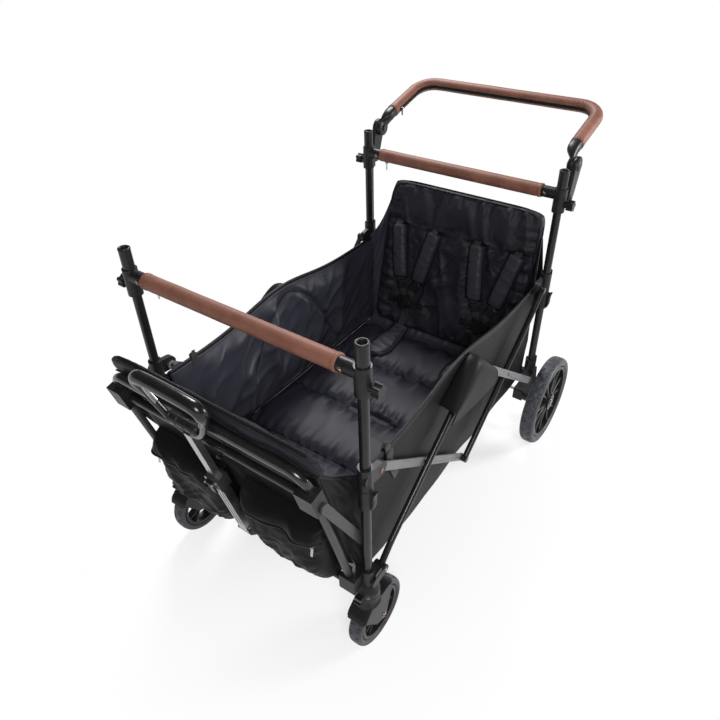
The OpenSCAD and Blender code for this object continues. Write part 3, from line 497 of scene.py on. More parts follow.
def curve_through(points: Sequence[Numbers], count: int) -> Array:
    """Smooth open curve through points: a Catmull-Rom spline with even steps in each span.

    Args:
        points: Points to pass.
        count: Number of points on the curve.

    Returns:
        The curve, resampled to even distances.
    """
    p = np.asarray(points, float)
    p = np.vstack([2 * p[0] - p[1], p, 2 * p[-1] - p[-2]])
    spans = len(p) - 3
    s = np.linspace(0, spans, 24 * spans + 1)
    k = np.minimum(s.astype(int), spans - 1)
    t = (s - k)[:, None]
    a, b, c, d = p[k], p[k + 1], p[k + 2], p[k + 3]
    line = 0.5 * (2 * b + (c - a) * t + (2 * a - 5 * b + 4 * c - d) * t ** 2 + (3 * b - a - 3 * c + d) * t ** 3)
    run = travelled(line)
    even = np.linspace(0, run[-1], count)
    return read_at(even, run, line)


def stitch_row(path: Array, up: Numbers, pitch: float = 0.005, length: float = 0.0034, width: float = 0.0009) -> Form:
    """Row of short threads along a path, each a six-sided spindle a little proud of the cloth.

    Args:
        path: Points of the seam.
        up: Which way the cloth faces.
        pitch: Distance from stitch to stitch.
        length: Length of one stitch.
        width: Thread width.

    Returns:
        All the stitches as one form.
    """
    run = travelled(path)
    at = np.arange(pitch / 2, run[-1], pitch)
    spots = read_at(at, run, path)
    along, beside, above = (unit(read_at(at, run, axis)) for axis in frames(path, up))
    ring = circle(width / 2, 6)
    reach = np.array([-0.5, -0.3, 0.3, 0.5]) * length
    swell = np.array([0.25, 1.0, 1.0, 0.25])
    points = (spots[:, None, None] + reach[None, :, None, None] * along[:, None, None]
              + swell[None, :, None, None] * (ring[None, None, :, :1] * beside[:, None, None]
                                              + ring[None, None, :, 1:] * above[:, None, None]))
    one = np.array(grid_faces(4, 6, True))
    faces = (one[None] + 24 * np.arange(len(at))[:, None, None]).reshape(-1, 4).tolist()
    ends = np.array([[5, 4, 3, 2, 1, 0], [18, 19, 20, 21, 22, 23]])
    faces += (ends[None] + 24 * np.arange(len(at))[:, None, None]).reshape(-1, 6).tolist()
    flat = points.reshape(-1, 3)
    return Form(flat, faces, flat[:, :2] * 0)


# Finishes


class Recipe:
    """The node tree of a material or of the sky."""

    def __init__(self, owner: Material | bpy.types.World) -> None:
        """Turns on the nodes of a new material or world."""
        owner.use_nodes = True
        self.owner, self.tree = owner, owner.node_tree

    def node(self, kind: str, settings: Optional[dict] = None, **inputs: object) -> bpy.types.Node:
        """Adds a node.

        Args:
            kind: Blender's name of the node's type.
            settings: Attributes of the node.
            inputs: Values or sockets for its inputs, by name with _ for spaces.

        Returns:
            The node.
        """
        node = self.tree.nodes.new(kind)
        for name, value in (settings or {}).items():
            setattr(node, name, value)
        for name, value in inputs.items():
            self.feed(node.inputs[name.replace("_", " ")], value)
        return node

    def feed(self, socket: Socket, value: object) -> None:
        """Links a socket to another, or sets its value."""
        if isinstance(value, Socket):
            self.tree.links.new(value, socket)
        elif isinstance(value, tuple) and len(value) == 3 and socket.type == "RGBA":
            socket.default_value = (*value, 1.0)
        else:
            socket.default_value = value

    def where(self, coords: Coords, stretch: Numbers = (1, 1, 1)) -> Socket:
        """Coordinates for a pattern, stretched by a Mapping node."""
        source = self.node("ShaderNodeTexCoord").outputs[coords.value]
        return self.node("ShaderNodeMapping", Vector=source, Scale=tuple(stretch)).outputs[0]

    def noise(self, where: Socket, scale: float, detail: float = 3.0, rough: float = 0.55) -> Socket:
        """Noise from 0 to 1."""
        return self.node("ShaderNodeTexNoise", Vector=where, Scale=scale, Detail=detail,
                         Roughness=rough).outputs["Fac"]

    def wave(self, where: Socket, scale: float, direction: str, wobble: float = 0.6) -> Socket:
        """Parallel ribs; one rib is 0.314 / scale long."""
        return self.node("ShaderNodeTexWave", {"bands_direction": direction}, Vector=where, Scale=scale,
                         Distortion=wobble, Detail=1.0).outputs["Fac"]

    def cells(self, where: Socket, scale: float) -> Socket:
        """Distance to the nearest cell centre, for grain."""
        return self.node("ShaderNodeTexVoronoi", Vector=where, Scale=scale).outputs["Distance"]

    def numbered(self, kind: str, settings: dict, inputs: dict[int, object]) -> Socket:
        """First output of a new node whose inputs are fed by their numbers."""
        node = self.node(kind, settings)
        for number, value in inputs.items():
            self.feed(node.inputs[number], value)
        return node.outputs[0]

    def sums(self, operation: str, a: object, b: object) -> Socket:
        """Arithmetic on two values."""
        return self.numbered("ShaderNodeMath", {"operation": operation}, {0: a, 1: b})

    def mix(self, share: Socket, low: object, high: object) -> Socket:
        """Mix of two numbers by a share."""
        return self.numbered("ShaderNodeMix", {}, {0: share, 2: low, 3: high})

    def fade(self, value: Socket, places: tuple[float, float], levels: tuple[float, float]) -> Socket:
        """Values between two places, carried smoothly to two levels."""
        return self.node("ShaderNodeMapRange", {"interpolation_type": "SMOOTHSTEP"}, Value=value, From_Min=places[0],
                         From_Max=places[1], To_Min=levels[0], To_Max=levels[1]).outputs[0]

    def seen(self) -> Socket:
        """1 for rays from the camera or from a reflection, otherwise 0."""
        rays = self.node("ShaderNodeLightPath").outputs
        direct = self.sums("MAXIMUM", rays["Is Camera Ray"], rays["Is Glossy Ray"])
        return self.sums("MAXIMUM", direct, rays["Is Transmission Ray"])

    def ramp(self, value: Socket, stops: Sequence[tuple[float, Colour]]) -> Socket:
        """Colour by a value, from places between 0 and 1 and their colours."""
        node = self.node("ShaderNodeValToRGB", Fac=value)
        while len(node.color_ramp.elements) < len(stops):
            node.color_ramp.elements.new(0.5)
        for element, (place, colour) in zip(node.color_ramp.elements, stops):
            element.position, element.color = place, (*colour, 1.0)
        return node.outputs["Color"]

    def spread(self, value: Socket, low: float, high: float) -> Socket:
        """A value from 0 to 1 carried to another range."""
        return self.node("ShaderNodeMapRange", Value=value, To_Min=low, To_Max=high).outputs[0]

    def raise_by(self, height: Socket, distance: float, strength: float = 1.0,
                 after: Optional[Socket] = None) -> Socket:
        """Bump of a height in metres, on top of an earlier one where given."""
        node = self.node("ShaderNodeBump", Height=height, Distance=distance, Strength=strength)
        if after is not None:
            self.feed(node.inputs["Normal"], after)
        return node.outputs[0]

    def dress(self, **sockets: object) -> Material:
        """Feeds the shader's sockets, by name with _ for spaces, and returns the material."""
        for name, value in sockets.items():
            self.feed(self.tree.nodes["Principled BSDF"].inputs[name.replace("_", " ")], value)
        return self.owner


@dataclass(frozen=True)
class Finish:
    """A finish with a name; its material is made once and then shared."""

    name: str

    def material(self) -> Material:
        """The finish's material, made the first time it is asked for."""
        name = f"look_{self.name}"
        return bpy.data.materials.get(name) or self.make(Recipe(bpy.data.materials.new(name)))

    def make(self, recipe: Recipe) -> Material:
        """Builds the material; each finish has its own way."""
        raise NotImplementedError


@dataclass(frozen=True)
class Cloth(Finish):
    """Woven cloth: crossed ribs, speckled yarn and soft patches, with a satin shine."""

    colour: Colour
    light: Colour
    rib: float
    shine: float
    rough: float
    depth: float = 0.00002

    def make(self, recipe: Recipe) -> Material:
        """Ribs both ways on the cloth's own coordinates, yarn noise over them."""
        cloth = recipe.where(Coords.CLOTH)
        solid = recipe.where(Coords.OBJECT)
        ribs = recipe.sums("MULTIPLY", recipe.wave(cloth, 0.314 / self.rib, "X"),
                           recipe.wave(cloth, 0.314 / self.rib, "Y"))
        yarn = recipe.noise(solid, 620.0, 2.0)
        patch = recipe.noise(solid, 9.0, 4.0)
        tone = recipe.sums("ADD", recipe.sums("MULTIPLY", yarn, 0.55), recipe.sums("MULTIPLY", patch, 0.45))
        slub = recipe.raise_by(patch, 0.0016, 0.35)
        weave = recipe.raise_by(recipe.sums("ADD", ribs, recipe.sums("MULTIPLY", yarn, 0.6)), self.depth, 0.6, slub)
        return recipe.dress(Base_Color=recipe.ramp(tone, [(0.30, self.colour), (0.72, self.light)]),
                            Roughness=recipe.spread(yarn, self.rough - 0.06, self.rough + 0.06),
                            Specular_IOR_Level=self.shine, Normal=weave)


@dataclass(frozen=True)
class Webbing(Finish):
    """Strap webbing: ribs along and a fine herringbone across."""

    colour: Colour = (0.010, 0.010, 0.011)
    light: Colour = (0.030, 0.030, 0.032)

    def make(self, recipe: Recipe) -> Material:
        """Ribs on the strap's own coordinates."""
        cloth = recipe.where(Coords.CLOTH)
        ribs = recipe.sums("ADD", recipe.wave(cloth, 0.314 / 0.0022, "X", 0.2),
                           recipe.wave(cloth, 0.314 / 0.0030, "DIAGONAL", 0.2))
        tone = recipe.sums("MULTIPLY", ribs, 0.5)
        return recipe.dress(Base_Color=recipe.ramp(tone, [(0.2, self.colour), (0.9, self.light)]),
                            Roughness=recipe.spread(tone, 0.62, 0.75), Specular_IOR_Level=0.3, Sheen_Weight=0.1,
                            Normal=recipe.raise_by(ribs, 0.00015, 0.7))


@dataclass(frozen=True)
class Leather(Finish):
    """Grained brown leather with darker hollows and handled, lighter patches."""

    colour: Colour = (0.130, 0.052, 0.036)
    light: Colour = (0.245, 0.106, 0.073)

    def make(self, recipe: Recipe) -> Material:
        """Cell grain, fine pores and broad handling marks."""
        solid = recipe.where(Coords.OBJECT)
        grain = recipe.cells(solid, 420.0)
        pores = recipe.noise(solid, 900.0, 2.0)
        marks = recipe.noise(solid, 22.0, 5.0, 0.6)
        tone = recipe.sums("ADD", recipe.sums("MULTIPLY", grain, 0.30), recipe.sums("MULTIPLY", marks, 0.75))
        bumps = recipe.raise_by(marks, 0.0008, 0.30)
        bumps = recipe.raise_by(recipe.sums("ADD", grain, recipe.sums("MULTIPLY", pores, 0.4)), 0.00014, 0.45, bumps)
        return recipe.dress(Base_Color=recipe.ramp(tone, [(0.28, self.colour), (0.75, self.light)]),
                            Roughness=recipe.spread(marks, 0.46, 0.62), Specular_IOR_Level=0.24, Normal=bumps)


@dataclass(frozen=True)
class Coat(Finish):
    """Hard skin, such as moulded plastic: broad noise gives its tone and gloss, and fine noise raises it."""

    colour: Colour = (0.0095, 0.0095, 0.0102)
    light: Colour = (0.0170, 0.0170, 0.0182)
    rough: float = 0.38
    shine: float = 0.24
    metal: float = 0.0
    broad: tuple[float, float, float] = (26.0, 4.0, 0.6)
    fine: tuple[float, float] = (1300.0, 2.0)
    stops: tuple[float, float] = (0.35, 0.72)
    smoother: float = 0.07
    rougher: float = 0.10
    bump: tuple[float, float] = (0.00002, 0.5)

    def make(self, recipe: Recipe) -> Material:
        """Tone and roughness follow the broad noise, the bump follows the fine one."""
        solid = recipe.where(Coords.OBJECT)
        tone, skin = recipe.noise(solid, *self.broad), recipe.noise(solid, *self.fine)
        return recipe.dress(Base_Color=recipe.ramp(tone, list(zip(self.stops, (self.colour, self.light)))),
                            Roughness=recipe.spread(tone, self.rough - self.smoother, self.rough + self.rougher),
                            Metallic=self.metal, Specular_IOR_Level=self.shine,
                            Normal=recipe.raise_by(skin, *self.bump))


@dataclass(frozen=True)
class Paint(Coat):
    """Powder paint on tube: faint orange peel, rubbed lighter in places."""

    colour: Colour = (0.0080, 0.0080, 0.0086)
    light: Colour = (0.0140, 0.0140, 0.0150)
    rough: float = 0.24
    shine: float = 0.30
    broad: tuple[float, float, float] = (14.0, 5.0, 0.6)
    fine: tuple[float, float] = (480.0, 2.0)
    stops: tuple[float, float] = (0.35, 0.70)
    smoother: float = 0.06
    bump: tuple[float, float] = (0.00005, 0.4)


@dataclass(frozen=True)
class Rubber(Coat):
    """Tyre rubber: dull, dusty on the tread, with fine pits."""

    colour: Colour = (0.030, 0.031, 0.038)
    light: Colour = (0.064, 0.066, 0.078)
    rough: float = 0.50
    shine: float = 0.36
    broad: tuple[float, float, float] = (30.0, 5.0, 0.65)
    fine: tuple[float, float] = (700.0, 3.0)
    stops: tuple[float, float] = (0.32, 0.72)
    smoother: float = 0.10
    bump: tuple[float, float] = (0.00004, 0.5)


@dataclass(frozen=True)
class Metal(Finish):
    """Drawn or brushed metal: fine lines along one axis and a slow change of gloss."""

    colour: Colour = (0.30, 0.30, 0.31)
    light: Colour = (0.42, 0.42, 0.43)
    rough: float = 0.32
    stretch: tuple[float, float, float] = (1.0, 1.0, 0.04)

    def make(self, recipe: Recipe) -> Material:
        """Lines from noise stretched along an axis."""
        lines = recipe.noise(recipe.where(Coords.OBJECT, self.stretch), 700.0, 3.0)
        tone = recipe.noise(recipe.where(Coords.OBJECT), 18.0, 4.0)
        return recipe.dress(Base_Color=recipe.ramp(tone, [(0.3, self.colour), (0.7, self.light)]), Metallic=1.0,
                            Roughness=recipe.spread(lines, self.rough - 0.08, self.rough + 0.12),
                            Normal=recipe.raise_by(lines, 0.00015, 0.35))


LINING = Cloth("lining_cloth", (0.0203, 0.0200, 0.0290), (0.0406, 0.0402, 0.0566), 0.0016, 0.24, 0.50)
OUTER = Cloth("outer_cloth", (0.0060, 0.0060, 0.0065), (0.0125, 0.0125, 0.0135), 0.0013, 0.10, 0.48)
PADDED = Cloth("padded_cloth", (0.0117, 0.0119, 0.0166), (0.0216, 0.0221, 0.0300), 0.0018, 0.18, 0.55)
SATIN = Cloth("satin_cloth", (0.0215, 0.0221, 0.0295), (0.0405, 0.0414, 0.0530), 0.0018, 0.24, 0.48)
FLOOR = Cloth("floor_cloth", (0.0138, 0.0139, 0.0215), (0.0255, 0.0257, 0.0385), 0.0018, 0.20, 0.52)
PIPING = Cloth("piping_cloth", (0.0060, 0.0060, 0.0067), (0.0120, 0.0120, 0.0132), 0.0010, 0.16, 0.42)
THREAD = Coat("seam_thread", (0.030, 0.030, 0.032), (0.060, 0.060, 0.064), 0.6)
BROWN_THREAD = Coat("brown_thread", (0.075, 0.036, 0.026), (0.120, 0.060, 0.044), 0.6)
STRAP = Webbing("strap_webbing")
TAN = Leather("brown_leather")
FRAME_PAINT = Paint("frame_paint")
HOOP_PAINT = Paint("hoop_paint", (0.0110, 0.0110, 0.0119), (0.0175, 0.0175, 0.0188), 0.22, 0.62)
LINK_PAINT = Paint("link_paint", (0.140, 0.138, 0.147), (0.195, 0.193, 0.204), 0.42, 0.30, 0.35)
STAY_PAINT = Paint("stay_paint", (0.040, 0.040, 0.043), (0.058, 0.058, 0.062), 0.40, 0.30, 0.25)
BLACK = Coat("black_plastic")
GLOSS_BLACK = Coat("gloss_black_plastic", (0.0070, 0.0070, 0.0076), (0.0120, 0.0120, 0.0130), 0.22, 0.42)
RIM_BLACK = Coat("rim_plastic", rough=0.34)
TYRE = Rubber("tyre_rubber")
STEM = Metal("stem_metal")
STEEL = Metal("axle_steel", (0.40, 0.40, 0.41), (0.55, 0.55, 0.56), 0.28, (0.04, 1.0, 1.0))
COPPER = Metal("copper_bolt", (0.25, 0.155, 0.115), (0.35, 0.230, 0.175), 0.30, (1.0, 1.0, 1.0))


# Making pieces


def piece(name: str, form: Form, finish: Finish, slot: str = "cloth", body: str = "rear_frame",
          stands_for: Sequence[str] = (), sharp: Optional[float] = None, wall: float = 0.0) -> bpy.types.Object:
    """Makes one piece from a form.

    Args:
        name: The piece's name.
        form: Its shape.
        finish: Its finish.
        slot: The record's material slot; not used.
        body: The body that it rides on.
        stands_for: CAD nodes that it replaces.
        sharp: Angle in degrees past which an edge stays crisp.
        wall: Thickness of a sheet, or 0 for a closed form.

    Returns:
        The piece.
    """
    mesh = bpy.data.meshes.new(name)
    mesh.from_pydata(form.points.tolist(), [], form.faces)
    layer = mesh.uv_layers.new(name="cloth")
    corner = np.zeros(len(mesh.loops), np.int32)
    mesh.loops.foreach_get("vertex_index", corner)
    layer.data.foreach_set("uv", np.asarray(form.uv, np.float32)[corner].ravel())
    work = bmesh.new()
    work.from_mesh(mesh)
    bmesh.ops.remove_doubles(work, verts=work.verts, dist=2e-6)
    bmesh.ops.dissolve_degenerate(work, edges=work.edges, dist=1e-7)
    if not wall:
        bmesh.ops.recalc_face_normals(work, faces=work.faces)
    work.to_mesh(mesh)
    work.free()
    mesh.polygons.foreach_set("use_smooth", np.ones(len(mesh.polygons), bool))
    if sharp is not None:
        mesh.set_sharp_from_angle(angle=math.radians(sharp))
    mesh.materials.append(finish.material())
    obj = bpy.data.objects.new(name, mesh)
    bpy.context.scene.collection.objects.link(obj)
    if wall:
        thick = obj.modifiers.new("wall", "SOLIDIFY")
        thick.thickness, thick.offset = wall, 0.0
    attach(obj, body)
    if stands_for:
        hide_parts(*stands_for)
    LOG.info("%s: %d faces, rides %s", name, len(mesh.polygons), body)
    return obj


def fill(obj: bpy.types.Object, held: Callable[[Array], Array], cap: float, pressure: float = 4.0,
         shrink: float = -0.03, last_frame: int = 16) -> None:
    """Puffs a pad with Blender's cloth: pressure inside, its seams held, then the result is kept.

    Args:
        obj: The pad.
        held: From points to which of them stay put.
        cap: Furthest that a point may move.
        pressure: Pressure inside.
        shrink: Less than 0 for slack cloth that wrinkles.
        last_frame: How long it runs.
    """
    mesh = obj.data
    rest = np.zeros(len(mesh.vertices) * 3, np.float32)
    mesh.vertices.foreach_get("co", rest)
    rest = rest.reshape(-1, 3)
    group = obj.vertex_groups.new(name="held")
    group.add(np.flatnonzero(held(rest)).tolist(), 1.0, "REPLACE")
    cloth = obj.modifiers.new("fill", "CLOTH")
    cloth.settings.quality = 5
    cloth.settings.mass = 0.3
    cloth.settings.use_pressure = True
    cloth.settings.uniform_pressure_force = pressure
    cloth.settings.effector_weights.gravity = 0.0
    cloth.settings.vertex_group_mass = group.name
    cloth.settings.shrink_min = shrink
    cloth.settings.bending_stiffness = 0.3
    cloth.settings.air_damping = 4.0
    cloth.collision_settings.use_collision = False
    cloth.point_cache.frame_start, cloth.point_cache.frame_end = 1, last_frame
    for frame in range(1, last_frame + 1):
        bpy.context.scene.frame_set(frame)
    shaped = obj.evaluated_get(bpy.context.evaluated_depsgraph_get())
    moved = np.zeros_like(rest).ravel()
    shaped.data.vertices.foreach_get("co", moved)
    step = moved.reshape(-1, 3) - rest
    obj.modifiers.remove(cloth)
    obj.vertex_groups.remove(group)
    bpy.context.scene.frame_set(1)
    far = np.linalg.norm(step, axis=1, keepdims=True)
    step *= np.minimum(1.0, cap / np.maximum(far, 1e-9))
    mesh.vertices.foreach_set("co", (rest + step).astype(np.float32).ravel())
    mesh.update()
    LOG.info("%s filled, moved up to %.1f mm", obj.name, 1000 * min(float(far.max()), cap))


def folds_away(*objs: bpy.types.Object) -> None:
    """Gives each piece its own copy of its mesh."""
    for obj in objs:
        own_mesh(obj)


# The studio


@dataclass
class Studio:
    """Camera at the photograph's angle, pale floor and soft light."""

    eye: tuple[float, float, float] = (0.81017, -1.204236, 1.54134)
    lens: float = 31.5456
    yaw: float = 36.2248
    pitch: float = 37.3449
    roll: float = -1.5455
    near: float = 0.30
    far: float = 1.10
    near_white: float = 0.62
    sky: float = 0.16
    zenith: float = 0.06
    sensor: float = 36.0
    clip: float = 0.05
    aim: tuple[float, float, float] = (0.0, -0.05, 0.5)
    horizon: float = 0.16
    floor_reach: float = 14.0
    floor_tone: Colour = (0.93, 0.93, 0.93)
    lamps: tuple = (((-1.3, 1.5, 2.9), 0.9, 104.0), ((2.1, 1.7, 1.35), 0.8, 74.0), ((1.7, -2.0, 2.6), 1.0, 66.0))

    def build(self) -> None:
        """Makes the camera, lamps, sky and floor."""
        bpy.context.scene.view_settings.view_transform = "Standard"
        self.camera()
        self.light()
        self.floor()

    def camera(self) -> None:
        """Aims the camera by yaw, pitch and roll: back is away from what it sees."""
        yaw, pitch, roll = (math.radians(a) for a in (self.yaw, self.pitch, self.roll))
        back = np.array([math.sin(yaw) * math.cos(pitch), -math.cos(yaw) * math.cos(pitch), math.sin(pitch)])
        level = np.array([math.cos(yaw), math.sin(yaw), 0.0])
        above = np.cross(back, level)
        right = level * math.cos(roll) + above * math.sin(roll)
        up = above * math.cos(roll) - level * math.sin(roll)
        data = bpy.data.cameras.new("photo_camera")
        data.lens, data.sensor_width, data.clip_start = self.lens, self.sensor, self.clip
        bpy.context.scene.camera = self.stand("photo_camera", data, (right, up, back, self.eye))

    @staticmethod
    def stand(name: str, data: bpy.types.ID, columns: Sequence[Numbers]) -> bpy.types.Object:
        """Puts up a camera or lamp by its right, up and back directions and its place."""
        obj = bpy.data.objects.new(name, data)
        obj.matrix_world = Matrix([*stack(*columns).tolist(), (0, 0, 0, 1)])
        bpy.context.scene.collection.objects.link(obj)
        return obj

    def light(self) -> None:
        """Large soft lamps aimed at the wagon's middle, and a white sky."""
        for number, (place, size, power) in enumerate(self.lamps):
            data = bpy.data.lights.new(f"lamp_{number}", "AREA")
            data.shape, data.size, data.energy = "SQUARE", size, power
            back = unit(np.array(place) - np.array(self.aim))
            right = unit(np.cross([0.0, 0.0, 1.0], back))
            self.stand(f"lamp_{number}", data, (right, np.cross(back, right), back, place))
        world = Recipe(bpy.data.worlds.new("sky"))
        bpy.context.scene.world = world.owner
        sky = world.tree.nodes["Background"].inputs
        world.feed(sky["Color"], (1.0, 1.0, 1.0))
        place = world.node("ShaderNodeTexCoord").outputs["Generated"]
        height = world.node("ShaderNodeSeparateXYZ", Vector=place).outputs["Z"]
        rays = world.node("ShaderNodeLightPath").outputs
        level = world.mix(rays["Is Glossy Ray"], self.sky,
                          world.fade(height, (0.0, self.horizon), (1.0, self.zenith)))
        for ray in ("Is Transmission Ray", "Is Camera Ray"):
            level = world.mix(rays[ray], level, 1.0)
        world.feed(sky["Strength"], level)

    def floor(self) -> None:
        """Pale floor that takes the shadow near the wagon and turns plain white further out."""
        mesh = bpy.data.meshes.new("floor")
        corners = [(x * self.floor_reach, y * self.floor_reach, 0) for x, y in ((-1, -1), (1, -1), (1, 1), (-1, 1))]
        mesh.from_pydata(corners, [], [(0, 1, 2, 3)])
        look = Recipe(bpy.data.materials.new("pale_floor"))
        look.tree.nodes.remove(look.tree.nodes["Principled BSDF"])
        place = look.node("ShaderNodeTexCoord").outputs["Object"]
        away = look.node("ShaderNodeVectorMath", {"operation": "LENGTH"}, Vector=place).outputs["Value"]
        share = look.fade(away, (self.near, self.far), (self.near_white, 1.0))
        pale = look.node("ShaderNodeBsdfDiffuse", Color=self.floor_tone).outputs[0]
        white = look.node("ShaderNodeEmission").outputs[0]
        shown = look.sums("MULTIPLY", share, look.seen())
        mixed = look.numbered("ShaderNodeMixShader", {}, {0: shown, 1: pale, 2: white})
        look.feed(look.tree.nodes["Material Output"].inputs["Surface"], mixed)
        mesh.materials.append(look.owner)
        floor = bpy.data.objects.new("floor", mesh)
        bpy.context.scene.collection.objects.link(floor)


# The frame's own solids


@dataclass
class FrameFinishes:
    """Puts a finish on every solid of the frame that stays in view."""

    finishes: dict[str, Finish] = field(default_factory=lambda: {
        "frame_paint": FRAME_PAINT, "black_plastic": BLACK, "rim_plastic": RIM_BLACK, "link_metal": LINK_PAINT,
        "leather": TAN, "cloth": OUTER, "padded_cloth": PADDED, "webbing": STRAP, "tyre": TYRE,
        "stem_metal": STEM, "axle_steel": STEEL, "button_plastic": GLOSS_BLACK})
    softened: tuple[str, ...] = ("black_plastic", "link_metal", "button_plastic")
    edge: float = 0.0010
    crisp: float = 38.0
    weld: float = 0.00002
    special: dict[str, Finish] = field(default_factory=lambda: {
        "front_hoop": HOOP_PAINT, "front_hoop_stays": STAY_PAINT, "handle_grip": GLOSS_BLACK})

    def build(self, frame: dict) -> None:
        """Gives each node its slot's finish, or its own.
        """
        slots = {row["node"]: row["material_slot"] for row in frame["record"]["subparts"]}
        for name, node in frame["nodes"].items():
            finish = self.special.get(name) or self.finishes[slots[name]]
            node.data.materials.clear()
            node.data.materials.append(finish.material())
            if slots[name] in self.softened:
                self.soften(node)

    def soften(self, node: bpy.types.Object) -> None:
        """Rounds the crisp edges of a moulded or pressed solid, so that they catch the light."""
        weld = node.modifiers.new("weld", "WELD")
        weld.merge_threshold = self.weld
        bevel = node.modifiers.new("edges", "BEVEL")
        bevel.width, bevel.segments, bevel.limit_method = self.edge, 2, "ANGLE"
        bevel.angle_limit = math.radians(self.crisp)
        even = node.modifiers.new("even", "WEIGHTED_NORMAL")
        even.weight = 80


# The basket's cloth


def rim_height(y: Array) -> Array:
    """Height of the basket's side rim: level, with a rise over the middle joint."""
    return 0.580 + 0.036 * bell(np.asarray(y) + 0.08, 0.17)


def hem_height(y: Array) -> Array:
    """Height of the side cloth's lower edge: level with the floor, slack towards the front."""
    return 0.266 - 0.021 * bell(np.asarray(y) + 0.27, 0.075)


